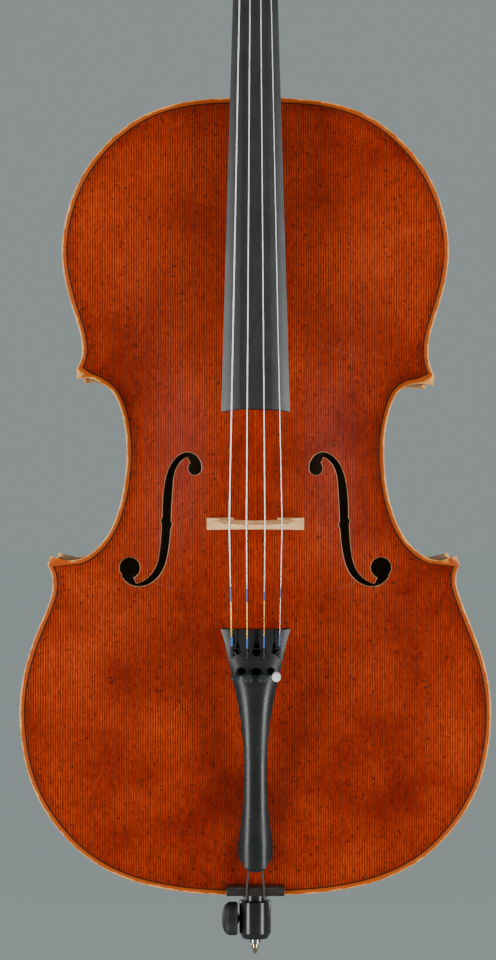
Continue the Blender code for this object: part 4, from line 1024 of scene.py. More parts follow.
def insideRuns(side, distance):
    upper, waist, lower = (inset(run, distance) for run in halfRuns(side, (120, 110, 130)))
    upper, lower = carriedOn(upper), carriedOn(lower[::-1])[::-1]
    waist = carriedOn(carriedOn(waist)[::-1])[::-1]
    i, j, meet = crossing(upper, waist)
    upper, waist = np.vstack([upper[:i], meet]), np.vstack([meet, waist[j + 1:]])
    i, j, meet = crossing(waist, lower)
    return upper, np.vstack([waist[:i], meet]), np.vstack([meet, lower[j + 1:]])


def resampled(run, start, end, count):
    lengths = np.concatenate([[0], np.cumsum(np.linalg.norm(np.diff(run, axis=0), axis=1))])
    wanted = np.linspace(start, lengths[-1] - end, count)
    return np.stack([np.interp(wanted, lengths, column) for column in run.T], axis=1)


ribs = {"outside": 0.0040, "inside": 0.0058, "half": 0.0587, "stations": 110}
for side, sideName in ((1, "treble"), (-1, "bass")):
    trims = ((0.0166, 0.0003), (0.0003, 0.0003), (0.0003, 0.0001))
    runs = zip(("upper", "c", "lower"), insideRuns(side, ribs["outside"]), insideRuns(side, ribs["inside"]), trims)
    for where, outer, inner, (start, end) in runs:
        outer = resampled(outer, start, end, ribs["stations"])
        inner = resampled(inner, start, end, ribs["stations"])
        bm = bmesh.new()
        h = ribs["half"]
        growRings(bm, [
            [(a, -h, b), (a, h, b), (c, h, d), (c, -h, d)] for (a, b), (c, d) in zip(outer, inner)
        ])
        ribName = f"rib{where.title()}{sideName.title()}"
        piece = asPiece(ribName, bm, ("ribVarnish",), stands=(f"rib_{where}_{sideName}",))
        mesh = piece.data
        flat = np.array([(v.co.x, v.co.z) for v in mesh.vertices])
        station = np.linalg.norm(flat[:, None] - ((outer + inner) / 2)[None], axis=2).argmin(axis=1)
        along = np.concatenate([[0], np.cumsum(np.linalg.norm(np.diff(outer, axis=0), axis=1))])
        layer = mesh.uv_layers.new(name="unrolled")
        for loop in mesh.loops:
            vert = loop.vertex_index
            layer.data[loop.index].uv = (along[station[vert]], mesh.vertices[vert].co.y)
print("ribs bent")

# fingerboard and nut

board = {
    "nutZ": 1.082, "endZ": 0.503, "radius": 0.062, "edge": 0.006, "halfNut": 0.016, "halfEnd": 0.0315,
    "slope": 0.184, "yAtBridge": -0.170, "bridgeZ": 0.400, "nutRise": 0.0012, "scoop": 0.0035, "endCurve": 0.0027,
}


def boardHalf(z):
    widening = (board["halfEnd"] - board["halfNut"]) * (board["nutZ"] - z) / (board["nutZ"] - board["endZ"])
    return board["halfNut"] + widening


def boardCrown(z):
    return board["yAtBridge"] + board["slope"] * (z - board["bridgeZ"])


def glueY(z):
    return boardCrown(z) + sagitta(boardHalf(z), board["radius"]) + board["edge"]


rings = []
stations = (    # height over the board's end and how far the edge is rounded there
    (0, 0.0010), (0.0006, 0.0003), (0.0016, 0), (0.06, 0), (0.20, 0), (0.275, 0), (0.305, 0), (0.45, 0), (0.5787, 0),
)
for z, shrink in stations:
    half = boardHalf(board["endZ"] + z)
    scoop = float(np.interp(z, (0.275, 0.305), (board["scoop"], 0)))
    top, under = [], []
    for k in range(29):
        share = k / 14 - 1
        x = share * (half - shrink)
        lower = board["endZ"] + z + max(0.0, 1 - z / 0.06) * board["endCurve"] * (1 - share * share)
        top.append((x, boardCrown(lower) + sagitta(x, board["radius"]) + shrink, lower))
        under.append((x, glueY(lower) - gap - scoop * (1 - share * share) - shrink, lower))
    rings.append(top + under[::-1])
bm = bmesh.new()
growRings(bm, rings)
asPiece("fingerboardEbony", bm, ("boardEbony",), stands=("fingerboard",))

nutX = {"c": -0.0113, "g": -0.0038, "d": 0.0038, "a": 0.0113}
gauge = {"c": 0.00066, "g": 0.00055, "d": 0.00047, "a": 0.00038}
nutY = boardCrown(board["nutZ"]) - board["nutRise"]
loop = []
for x in np.linspace(-0.0162, 0.0162, 131):
    groove = max(gauge[name] ** 2 - (x - nutX[name]) ** 2 for name in stringNames)
    loop.append((x, nutY + sagitta(x, board["radius"]) + 0.8 * math.sqrt(max(groove, 0))))
loop += [(0.0162, glueY(board["nutZ"]) - gap), (-0.0162, glueY(board["nutZ"]) - gap)]
bm = bmesh.new()
addSlab(bm, loop, board["nutZ"], board["nutZ"] + 0.006, bevel=0.0003)
asPiece("nutEbony", bm, ("pegEbony",), stands=("nut",))
print("fingerboard planed")


# neck, pegbox and scroll

neckRows = (    # z, front, back, half width, half width at the back, roundness, depth of the two flutes at the back
    (0.7860, None, 0.0587, None, 0.0163, 0.0, 0), (0.8220, None, 0.0577, None, 0.0163, 0.0, 0),
    (0.8262, None, 0.0440, None, 0.0161, 0.05, 0), (0.8310, None, 0.0160, None, 0.0157, 0.25, 0),
    (0.8400, None, -0.0150, None, 0.0150, 0.55, 0), (0.8530, None, -0.0350, None, 0.0150, 0.8, 0),
    (0.8700, None, -0.0460, None, 0.0150, 0.95, 0), (0.8950, None, -0.0490, None, 0.0150, 1.0, 0),
    (1.0400, None, -0.0230, None, 0.0140, 1.0, 0), (1.0620, None, -0.0150, None, 0.0140, 0.9, 0),
    (1.0760, None, -0.0030, None, 0.0150, 0.6, 0),
    (1.0885, -0.0358, 0.0085, 0.0205, 0.0193, 0.25, 0.0004), (1.0905, -0.0330, 0.0100, 0.0215, 0.0202, 0.2, 0.0006),
    (1.1000, -0.0310, 0.0130, 0.0232, 0.0218, 0.05, 0.0012), (1.1330, -0.0170, 0.0200, 0.0222, 0.0209, 0, 0.0016),
    (1.1650, -0.0070, 0.0262, 0.0206, 0.0194, 0, 0.0018), (1.2000, 0.0030, 0.0363, 0.0182, 0.0172, 0, 0.0020),
    (1.2140, 0.0040, 0.0425, 0.0164, 0.0156, 0, 0.0018), (1.2200, 0.0060, 0.0436, 0.0140, 0.0132, 0.1, 0.0015),
    (1.2280, 0.0100, 0.0430, 0.0108, 0.0100, 0.3, 0.0010),
)
pegboxTable = [(row[0], row[3]) for row in neckRows if row[3]]


def pegboxHalf(z):
    return float(np.interp(z, [row[0] for row in pegboxTable], [row[1] for row in pegboxTable]))


def neckRing(z, front, back, half, halfBack, roundness, flute):
    right = []
    for k in range(25):
        if k < 13:
            t = k / 12
            square = Vector((half + (halfBack - half) * t, front + (back - front) * t))
        else:
            t = (k - 12) / 12
            square = Vector((halfBack * (1 - t), back - flute * math.sin(math.pi * min(t / 0.92, 1)) ** 0.8))
        turn = math.pi / 2 * k / 24
        rounded = Vector((half * math.cos(turn), front + (back - front) * math.sin(turn)))
        right.append(square.lerp(rounded, roundness))
    return [(p.x, p.y, z) for p in right] + [(-p.x, p.y, z) for p in right[::-1][1:]]


rows = [
    (z, glueY(z) if front is None else front, back, boardHalf(z) if half is None else half, halfBack, roundness, flute)
    for z, front, back, half, halfBack, roundness, flute in neckRows
]
lower, upper = [row for row in rows if row[0] < 1.08], [row for row in rows if row[0] > 1.08]
smooth = list(easedTable(lower, np.unique(np.concatenate([
    np.linspace(0.786, 0.82, 3), np.linspace(0.822, 0.90, 27), np.linspace(0.90, 1.04, 10), np.linspace(1.04, 1.076, 8)
]))))
smooth += list(easedTable(upper, np.linspace(1.0885, 1.228, 26)))
bm = bmesh.new()
growRings(bm, [neckRing(*row) for row in smooth])
neckPiece = asPiece("neckMaple", bm, ("neckVarnish",), stands=("neck",), sharp=40)

scroll = {
    "centre": (0.0085, 1.2405), "radius": 0.0345, "tighten": 0.098, "turns": 2.62, "start": -0.62, "eye": 0.0058,
    "widths": ((-0.7, 16.2), (1.57, 13.8), (3.14, 14.6), (4.7, 17.2), (6.28, 20.2), (7.85, 23.2), (9.4, 25.8),
               (11, 28), (12.6, 29.8), (17, 31.4)),
}


def scrollRadius(turn):
    return scroll["radius"] * math.exp(-scroll["tighten"] * (turn - math.pi / 2))


bm = bmesh.new()
rings = []
for turn in np.linspace(scroll["start"], scroll["start"] + 2 * math.pi * scroll["turns"], 150):
    outer, inner = scrollRadius(turn), scrollRadius(turn + 2 * math.pi) * 0.86
    half = float(np.interp(turn, *zip(*scroll["widths"]))) * mm
    flute = 0.0018 * min(1.0, outer / 0.02)
    bevel = 0.0011 * min(1.0, outer / 0.02)
    across = [(inner, half - 0.0042), (inner + 0.35 * (outer - inner), half - 0.0040)]
    across += [(inner + 0.75 * (outer - inner), half - 0.0022), (outer - bevel, half - 0.0001)]
    across.append((outer - 0.2 * bevel, half - 0.4 * bevel))
    across += [(outer, half - bevel), (outer - 0.0002, half - 1.4 * bevel)]
    for k in range(1, 9):
        share = k / 9
        across.append((outer - flute * math.sin(math.pi * share) ** 0.8, (half - 1.5 * bevel) * (1 - share)))
    across.append((outer - 0.0002, 0))
    ring = across + [(r, -x) for r, x in across[::-1][1:]]
    y, z = scroll["centre"]
    rings.append([(x, y + r * math.cos(turn), z + r * math.sin(turn)) for r, x in ring])
growRings(bm, rings)
asEye = Matrix.Translation((0, *scroll["centre"])) @ Matrix.Rotation(math.pi / 2, 4, "Y")
e = scroll["eye"]
eyeProfile = (
    (0, -0.0332), (0.5 * e, -0.0330), (0.9 * e, -0.0318), (e, -0.030), (e, 0.030), (0.9 * e, 0.0318),
    (0.5 * e, 0.0330), (0, 0.0332),
)
addTurned(bm, eyeProfile, 40, asEye)
asPiece("scrollMaple", bm, ("neckVarnish",), sharp=30)

pegs = {    # x of the winding, axis y and z, head side, turn of the head in degrees
    "c": (-0.0070, -0.0090, 1.1094, -1, 20), "g": (-0.0030, 0.0055, 1.1596, -1, -35),
    "d": (0.0030, 0.0115, 1.1850, 1, 50), "a": (0.0070, -0.0010, 1.1345, 1, -12),
}
bm = bmesh.new()
pegboxFloor = (     # z, half width and depth of the trough
    (1.0915, 0.0135, -0.001), (1.1330, 0.0125, 0.0105), (1.1700, 0.0108, 0.0175), (1.1970, 0.0095, 0.0225),
)
growRings(bm, [
    [(-half, -0.07, z), (half, -0.07, z), (half, depth, z), (0.5 * half, depth + 0.0012, z),
     (-0.5 * half, depth + 0.0012, z), (-half, depth, z)]
    for z, half, depth in pegboxFloor
])
tools = [asPiece("pegboxTool", bm, (), rides=None)]
for _, y, z, side, _ in pegs.values():
    half = pegboxHalf(z)
    bm = bmesh.new()
    bmesh.ops.create_cone(bm, cap_ends=True, segments=40, radius1=0.0062, radius2=0.0076, depth=2 * half + 0.02)
    onAxis = Matrix.Translation((0, y, z)) @ Matrix.Rotation(side * math.pi / 2, 4, "Y")
    bmesh.ops.transform(bm, verts=bm.verts, matrix=onAxis)
    tools.append(asPiece("pegHoleTool", bm, (), rides=None))
carve(neckPiece, tools, sharp=40)
print("head carved")


# pegs

pegShape = {
    "wide": 0.0072, "taper": 0.030, "headWide": 0.0155, "headLong": 0.0165, "headThick": 0.0048, "windings": 3.5,
}
for name, (windingX, y, z, side, turn) in pegs.items():
    half = pegboxHalf(z)
    far, near = -half - 0.0025, half + 0.004
    narrow = pegShape["wide"] - pegShape["taper"] * (near - far)
    onAxis = Matrix.Translation((0, y, z)) @ Matrix.Rotation(side * math.pi / 2, 4, "Y")
    bm = bmesh.new()
    profile = (
        (0, far - 0.0016), (0.5 * narrow, far - 0.0013), (0.85 * narrow, far - 0.0005), (narrow, far + 0.0004),
        (pegShape["wide"], near), (pegShape["wide"], near + 0.0018), (0.0074, near + 0.0024), (0.0088, near + 0.0036),
        (0.0092, near + 0.0050), (0.0092, near + 0.0068), (0.0086, near + 0.0084), (0.0074, near + 0.0094),
        (0.0060, near + 0.0108), (0.0050, near + 0.0130), (0.0047, near + 0.0160), (0.0046, near + 0.0210),
        (0, near + 0.0210),
    )
    addTurned(bm, profile, 40, onAxis)
    before = set(bm.verts)
    bmesh.ops.create_uvsphere(bm, u_segments=40, v_segments=24, radius=1)
    head = [vert for vert in bm.verts if vert not in before]
    for vert in head:
        a, b, c = vert.co
        waist = 1 - 0.18 * max(0, -c) ** 1.5
        hollow = 1 - 0.35 * math.exp(-((a / 0.5) ** 2 + (c / 0.55) ** 2))
        vert.co = (
            a * pegShape["headWide"] * waist, b * pegShape["headThick"] * hollow,
            c * pegShape["headLong"] + near + 0.030,
        )
    bmesh.ops.transform(bm, verts=head, matrix=onAxis @ Matrix.Rotation(math.radians(turn), 4, "Z"))
    before = set(bm.verts)
    bmesh.ops.create_uvsphere(bm, u_segments=20, v_segments=12, radius=0.0026)
    button = [vert for vert in bm.verts if vert not in before]
    bmesh.ops.translate(bm, verts=button, vec=(0, 0, near + 0.0465))
    bmesh.ops.transform(bm, verts=button, matrix=onAxis)
    asPiece(
        f"pegTurned{name.upper()}", bm, ("pegEbony",), stands=(f"peg_{name}",), rides=f"peg_{name}"
    )

    wire = gauge[name]
    bm = bmesh.new()
    route = []
    for k in range(int(28 * pegShape["windings"])):
        a = 2 * math.pi * k / 28 + math.pi / 2
        along = side * windingX + (k / 28 - pegShape["windings"]) * 2.1 * wire
        radius = pegShape["wide"] - pegShape["taper"] * (near - along) + wire
        route.append(onAxis @ Vector((radius * math.cos(a), radius * math.sin(a), along)))
    addTube(bm, route, wire, 8)
    asPiece(f"winding{name.upper()}", bm, ("windingSilver",), rides=f"peg_{name}")
print("pegs turned")


# bridge

bridgeShape = {"z": 0.400, "footY": -0.0780, "topY": -0.1795, "radius": 0.062}
tall = bridgeShape["footY"] - bridgeShape["topY"]
bridgeArch = (  # under the middle, from the foot to the crown of the arch
    (0.0205, 0.0), (0.0205, 0.0040), (0.0208, 0.0110), (0.0235, 0.0155), (0.0245, 0.024), (0.0225, 0.036),
    (0.0165, 0.0475), (0.0085, 0.0535), (0, 0.0555),
)
bridgeRuns = (  # treble side from the crown down, as x and height over the foot
    ((0.0288, tall - 0.0075), (0.0302, tall - 0.0120), (0.0320, 0.0850), (0.0350, 0.0780), (0.0385, 0.0735)),
    ((0.0372, 0.0700), (0.0315, 0.0725), (0.0265, 0.0705), (0.0250, 0.0660), (0.0285, 0.0615), (0.0345, 0.0630)),
    ((0.0405, 0.0625), (0.0402, 0.0590), (0.0358, 0.0560), (0.0335, 0.0480), (0.0325, 0.0360), (0.0338, 0.0240),
     (0.0372, 0.0172), (0.0440, 0.0150)),
    ((0.0454, 0.0125), (0.0454, 0.0)),
)
halfEdge = []
for run in bridgeRuns:
    halfEdge += [tuple(p) for p in (evenCurve(run, 5 * len(run)) if len(run) > 2 else run)]
halfArch = [tuple(p) for p in evenCurve(bridgeArch, 40)]
crownLine = [(x, tall - sagitta(x, bridgeShape["radius"])) for x in np.linspace(0.0275, -0.0275, 41)]
loop = halfEdge[::-1] + crownLine + [(-x, h) for x, h in halfEdge] + [(-x, h) for x, h in halfArch]
loop += halfArch[::-1][1:]
heart = evenCurve((
    (0, 0.0785), (0.0030, 0.0752), (0.0085, 0.0758), (0.0115, 0.0715), (0.0085, 0.0665), (0.0030, 0.0640), (0, 0.0600),
), 36)
heartLoop = [tuple(p) for p in heart] + [(-x, h) for x, h in heart[::-1][1:-1]]
bm = bmesh.new()
addSlab(bm, loop, -0.006, 0.006)
bridgePiece = asPiece("bridgeMaple", bm, ("bridgeMaple",), stands=("bridge",), sharp=40)
bm = bmesh.new()
addSlab(bm, heartLoop, -0.02, 0.02)
carve(bridgePiece, [asPiece("heartTool", bm, (), rides=None)])
bm = bmesh.new()
bm.from_mesh(bridgePiece.data)
for height in np.linspace(0.006, tall - 0.003, 22):
    everything = bm.verts[:] + bm.edges[:] + bm.faces[:]
    bmesh.ops.bisect_plane(bm, geom=everything, plane_co=(0, height, 0), plane_no=(0, 1, 0))
profileRows = ((0, -5.6, 5.8), (8, -5.6, 5.8), (20, -5.2, 5.0), (50, -4.6, 4.2), (80, -3.9, 2.6), (102, -3.2, 0.6))
heights, backFace, frontFace = (np.array(column) * mm for column in zip(*profileRows))
for vert in bm.verts:
    face = backFace if vert.co.z < 0 else frontFace
    vert.co.z = float(np.interp(vert.co.y, heights, face))
onFeet = Matrix.Translation((0, bridgeShape["footY"], bridgeShape["z"])) @ Matrix.Rotation(math.pi, 4, "X")
bmesh.ops.transform(bm, verts=bm.verts, matrix=onFeet)
for vert in bm.verts:   # the slab's thickness is turned so that its flat side faces the tailpiece
    vert.co.z = 2 * bridgeShape["z"] - vert.co.z
bmesh.ops.recalc_face_normals(bm, faces=bm.faces)
bm.to_mesh(bridgePiece.data)
bm.free()
bridgeX = {"c": -0.0238, "g": -0.0083, "d": 0.0083, "a": 0.0238}
tools = []
for name in stringNames:
    bm = bmesh.new()
    wide = gauge[name] + 0.0002
    bmesh.ops.create_cone(bm, cap_ends=True, segments=20, radius1=wide, radius2=wide, depth=0.02)
    crownY = bridgeShape["topY"] + sagitta(bridgeX[name], bridgeShape["radius"])
    bmesh.ops.translate(bm, verts=bm.verts, vec=(bridgeX[name], crownY - gap, bridgeShape["z"]))
    tools.append(asPiece("notchTool", bm, (), rides=None))
bm = bmesh.new()    # the feet are cut to the arching
rows = [[(x, frontY(x, z) - 0.0002, z) for x in np.linspace(-0.052, 0.052, 41)] for z in np.linspace(0.385, 0.415, 13)]
growRings(bm, [row + [(row[-1][0], -0.05, row[-1][2]), (row[0][0], -0.05, row[0][2])] for row in rows])
tools.append(asPiece("archTool", bm, (), rides=None))
carve(bridgePiece, tools)
print("bridge cut")


# tailpiece

tail = {
    "top": (0.0, -0.1492, 0.307), "tilt": math.atan(0.2986), "length": 0.244, "axleDown": 0.026, "axleDepth": 0.0130,
    "screwDown": 0.047, "hookCrown": 0.056, "screwCrown": 0.047,
    "sections": (   # distance below the top edge, half width, thickness and crown radius in millimetres
        (0, 32.3, 6.0, 82), (12, 29.6, 6.5, 76), (26, 26.3, 7.0, 64), (42, 23.4, 7.5, 46), (56, 20.6, 8.0, 32),
        (71, 17.4, 8.5, 24), (101, 12.9, 9.5, 18.5), (139, 10.5, 9.5, 16), (177, 11.8, 9.0, 16.5), (200, 14.0, 8.5, 18),
        (222, 16.4, 8.0, 19.5), (229, 16.5, 8.0, 19.5), (236, 13.1, 7.6, 19.5), (240.5, 9.4, 7.2, 19.5),
        (243, 5.6, 7.1, 19.5), (244, 2.6, 7.0, 19.5),
    ),
}
tailFrame = Matrix.Translation(tail["top"]) @ Matrix.Rotation(tail["tilt"], 4, "X")
downs = np.concatenate([[0, 0.5, 1.2, 2.5], np.linspace(5, 230, 46), np.linspace(233, 243.2, 12), [243.6, 244]])
rings = []
for down, half, thick, radius in easedTable(tail["sections"], downs):
    half, thick, radius = half * mm, thick * mm, radius * mm
    shrink = 0.0009 * max(0, 1 - down / 1.2) + 0.0009 * max(0, (down - 241) / 3)
    top, under = [], []
    for k in range(37):
        share = math.sin(math.pi / 2 * (k / 18 - 1))
        x = share * (half - shrink)
        z = -down * mm - 0.0035 * max(0, 1 - down / 12)
        bend = sagitta(x, radius)
        top.append((x, bend + shrink, z))
        low = max(bend, 0.6 * sagitta(half, radius)) + thick * (0.62 - 0.36 * share * share * min(1, down / 60))
        under.append((x * 0.94, max(low - shrink, bend + shrink + 0.0012), z))
    rings.append(top + under[::-1])
bm = bmesh.new()
growRings(bm, rings)
tailPiece = asPiece(
    "tailpieceMoulded", bm, ("tailpieceBlack",), stands=("tailpiece",), sharp=32
)

hookX = {"c": -0.0217, "g": -0.0076, "d": 0.0076, "a": 0.0217}
tunerX = {"c": -0.0190, "g": -0.0064, "d": 0.0064, "a": 0.0190}
through = Matrix.Rotation(math.pi / 2, 4, "X")  # an outline in x and distance up, cut through the tailpiece
tools = []


def tailTool(outlinePoints):
    cut = bmesh.new()
    addSlab(cut, [(x * mm, -down * mm) for x, down in outlinePoints], -0.03, 0.03, through)
    tools.append(asPiece("tailTool", cut, (), rides=None))


for x, wide, slit in ((-16.2, 2.8, 0.6), (0.8, 4.2, 2.0), (17.1, 2.8, 0.6)):
    drop = [
        (x + wide * math.sin(a), 24.4 + wide * 1.05 * math.cos(a))
        for a in np.linspace(-0.72 * math.pi, 0.72 * math.pi, 28)
    ]
    tailTool([*drop, (x + slit, 14.5), (x + slit, -3), (x - slit, -3), (x - slit, 14.5)])
for name in stringNames:
    x = hookX[name] / mm
    ends = [(x + 1.3 * math.cos(a), 30.6 - 1.3 * math.sin(a)) for a in np.linspace(0, -math.pi, 9)]
    tailTool([*ends, *((x + 1.3 * math.cos(a), 19.4 - 1.3 * math.sin(a)) for a in np.linspace(math.pi, 0, 9))])
for x, wide, high in ((-12.2, 3.4, 3.4), (0.4, 4.5, 3.8), (13.8, 3.4, 3.4)):
    tailTool([(x + wide * math.cos(a), 43.4 + high * math.sin(a)) for a in np.linspace(0, 2 * math.pi, 33)[:-1]])
for name in stringNames:
    x = tunerX[name] / mm
    tailTool([(x + 1.7 * math.cos(a), 47 + 1.7 * math.sin(a)) for a in np.linspace(0, 2 * math.pi, 21)[:-1]])
carve(tailPiece, tools, sharp=32)
bm = bmesh.new()
bm.from_mesh(tailPiece.data)
for x in (-0.02535, -0.0149, 0.0149, 0.02535):  # lugs that carry the axle
    inside = sagitta(abs(x) + 0.0009, tail["hookCrown"]) + 0.0020
    ear = [(inside, -0.0031)] + [
        (tail["axleDepth"] + 0.0026 * math.sin(a), 0.0028 * math.cos(a)) for a in np.linspace(math.pi, 0, 13)
    ] + [(inside, 0.0031)]
    place = Matrix.Translation((x, 0, -tail["axleDown"])) @ Matrix.Rotation(math.pi / 2, 4, "Z")
    addSlab(bm, ear, -0.0009, 0.0009, place @ Matrix.Rotation(math.pi / 2, 4, "X"))
housing = []    # the box under the head that the tuners work in: distance down and half width
for down, half in ((8, 25.3), (30, 23.6), (46, 22.0), (52, 21.0)):
    wall = [(-half, 7), (-half, 17.4), (1.5 - half, 18.6), (half - 1.5, 18.6), (half, 17.4), (half, 7)]
    wall += [(half - 0.9, 7), (half - 0.9, 17.2), (half - 1.8, 17.8)]
    wall += [(1.8 - half, 17.8), (0.9 - half, 17.2), (0.9 - half, 7)]
    housing.append([(x * mm, depth * mm, -down * mm) for x, depth in wall])
growRings(bm, housing)
bmesh.ops.transform(bm, verts=bm.verts, matrix=tailFrame)
bmesh.ops.recalc_face_normals(bm, faces=bm.faces)
bm.to_mesh(tailPiece.data)
bm.free()
tailPiece.data.shade_smooth()
tailPiece.data.set_sharp_from_angle(angle=math.radians(32))
print("tailpiece moulded")

# fine tuners

tuner = {"leverHalf": 0.0010, "leverTop": 0.0113, "hookTop": -0.0030, "screwRadius": 0.0012, "ribs": 16}
# takes an outline of depth and height, thick along x
fromTail = Matrix.Rotation(math.pi / 2, 4, "Z") @ Matrix.Rotation(math.pi / 2, 4, "X")
for name in stringNames:
    x = hookX[name]
    depth = tail["axleDepth"]
    top = tuner["hookTop"] + sagitta(x, tail["hookCrown"]) - depth
    arm = tuner["leverTop"] - depth
    loop = [
        (top + 0.0007, 0.0030), (top, 0.0024), (top + 0.0002, 0.0012), (top + 0.0013, 0.0003), (top + 0.0013, -0.0006),
        (top, -0.0016), (top, -0.0026), (top + 0.0008, -0.0032), (top + 0.0040, -0.0034), (arm - 0.0006, -0.0036),
        (arm, -0.0042), (arm, -0.0240), (arm + 0.0006, -0.0246), (arm + 0.0022, -0.0246), (arm + 0.0028, -0.0240),
        (0.0026, -0.0030), (0.0030, -0.0010), (0.0028, 0.0014), (0.0016, 0.0029), (-0.0010, 0.0036),
    ]
    bm = bmesh.new()
    addSlab(bm, loop, -tuner["leverHalf"], tuner["leverHalf"], fromTail, bevel=0.0002)
    for height in (-0.006, -0.018):
        everything = bm.verts[:] + bm.edges[:] + bm.faces[:]
        bmesh.ops.bisect_plane(bm, geom=everything, plane_co=(0, 0, height), plane_no=(0, 0, 1))
    for vert in bm.verts:
        lean = min(max((-vert.co.z - 0.006) / 0.012, 0), 1)
        vert.co.x += (tunerX[name] - x) * lean
    bmesh.ops.transform(bm, verts=bm.verts, matrix=tailFrame @ Matrix.Translation((x, depth, -tail["axleDown"])))
    asPiece(
        f"lever{name.upper()}", bm, ("leverSteel",), stands=(f"lever_{name}",), rides=f"lever_{name}",
    )

    surface = sagitta(tunerX[name], tail["screwCrown"])
    axis = tailFrame @ Matrix.Translation((tunerX[name], surface, -tail["screwDown"]))
    axis = axis @ Matrix.Rotation(math.pi / 2, 4, "X")
    end = -(tuner["leverTop"] - surface) + 0.0003
    r = tuner["screwRadius"]
    threadRows = [(0, end), (0.6 * r, end), (r, end + 0.0005)]
    for k in range(int((0.0026 - end) / 0.0005)):
        threadRows += [(r, end + 0.0006 + 0.0005 * k), (0.86 * r, end + 0.00085 + 0.0005 * k)]
    bm = bmesh.new()
    addTurned(bm, [*threadRows, (r, 0.0034), (r, 0.0045), (0, 0.0045)], 20, axis)
    asPiece(
        f"tunerScrew{name.upper()}", bm, ("leverSteel",), stands=(f"tuner_screw_{name}",),
        rides=f"tuner_screw_{name}",
    )

    bm = bmesh.new()
    profile = (
        (0, 0.0048), (0.0014, 0.0048), (0.0015, 0.0040), (0.0028, 0.0040), (0.0037, 0.0044), (0.0041, 0.0052),
        (0.0041, 0.0100), (0.0039, 0.0107), (0.0034, 0.0112), (0.0030, 0.0112), (0.0028, 0.0109), (0.0024, 0.0107),
        (0, 0.0108),
    )
    addTurned(bm, profile, 3 * tuner["ribs"], Matrix.Identity(4))
    for vert in bm.verts:
        radius = math.hypot(vert.co.x, vert.co.y)
        if radius > 0.0036:
            share = 1 - 0.035 * (1 - math.cos(tuner["ribs"] * math.atan2(vert.co.y, vert.co.x))) / 2
            vert.co.x *= share
            vert.co.y *= share
    bmesh.ops.transform(bm, verts=bm.verts, matrix=axis)
    knobFinish, knobSlot = ("whiteKnob", "white_knob") if name == "a" else ("smokeKnob", "dark_knob")
    asPiece(
        f"tunerKnob{name.upper()}", bm, (knobFinish,), stands=(f"tuner_knob_{name}",), rides=f"tuner_knob_{name}",
        sharp=45,
    )
print("tuners fitted")


# strings

strings = {     # heights where each silk begins and ends, and the finishes below and above the upper silk
    "c": dict(silk=(0.3441, 0.3302), lowSilk=(0.2975, 0.2893), winding="windingGold", upper="windingSilver"),
    "g": dict(silk=(0.3426, 0.3302), lowSilk=(0.2966, 0.2871), winding="windingGold", upper="windingSilver"),
    "d": dict(silk=(0.3398, 0.3317), lowSilk=(0.2984, 0.2875), winding="windingGold", upper="windingSilver"),
    "a": dict(silk=(0.3426, 0.3340), lowSilk=(0.3007, 0.2893), winding="windingRose", upper="windingSilver"),
}
for name in stringNames:
    radius = gauge[name]
    clear = radius + gap
    hookDepth = tuner["hookTop"] + sagitta(hookX[name], tail["hookCrown"]) - clear
    hook = tailFrame @ Vector((hookX[name], hookDepth, -tail["axleDown"] - 0.001))
    overBridge = bridgeShape["topY"] + sagitta(bridgeX[name], bridgeShape["radius"]) - clear
    overNut = nutY + sagitta(nutX[name], board["radius"]) - clear
    windingX, pegY, pegZ, side = pegs[name][:4]
    wide = pegShape["wide"] - pegShape["taper"] * (pegboxHalf(pegZ) + 0.004 - side * windingX)
    away = wide + clear + gap
    corner = [
        (bridgeX[name], overBridge + 0.0003, bridgeShape["z"] - 0.002),
        (bridgeX[name], overBridge - 0.0001, bridgeShape["z"]),
        (bridgeX[name], overBridge + 0.0001, bridgeShape["z"] + 0.002),
        (nutX[name], overNut - 0.0002, board["nutZ"] + 0.0005),
        (nutX[name], overNut - 0.0001, board["nutZ"] + 0.0045),
        (nutX[name], overNut + 0.0005, board["nutZ"] + 0.0065),
        (windingX, pegY - away * 0.9, pegZ - away * 0.62),
    ]
    route = [np.array(hook), *(np.array(point) for point in corner)]
    levels = np.array([point[2] for point in route])

    def at(z):
        return tuple(np.interp(z, levels, [point[i] for point in route]) for i in range(3))

    plan = strings[name]
    low = levels[0]
    stretches = (   # from, to, radius against the string's own, material
        (low + 0.0006, plan["lowSilk"][1], 1.0, 3), (plan["lowSilk"][1], plan["lowSilk"][0], 1.45, 1),
        (plan["lowSilk"][0], plan["silk"][1], 1.0, 2), (plan["silk"][1], plan["silk"][0], 1.08, 1),
        (plan["silk"][0], levels[-1], 1.0, 0),
    )
    bm = bmesh.new()
    for start, end, share, material in stretches:
        inner = [z for z in levels if start < z < end]
        heights = [start, start + 0.0002, *inner, end - 0.0002, end]
        radii = [0.93 * radius * share] + [radius * share] * (len(heights) - 2) + [0.93 * radius * share]
        addTube(bm, [at(z) for z in heights], radii, 14, material)
    hookPoint = Vector(at(low + 0.0006))
    before = set(bm.verts)
    bmesh.ops.create_uvsphere(bm, u_segments=20, v_segments=12, radius=0.0014)
    ball = [vert for vert in bm.verts if vert not in before]
    for vert in ball:
        for face in vert.link_faces:
            face.material_index = 3
    bmesh.ops.translate(bm, verts=ball, vec=hookPoint + Vector((0, 0.0020, -0.0022)))
    asPiece(
        f"string{name.upper()}", bm, (plan["upper"], "blueSilk", plan["winding"], "gripBlack"),
        stands=(f"string_{name}",), sharp=60,
    )
print("strings strung")


# saddle, tail wire and endpin

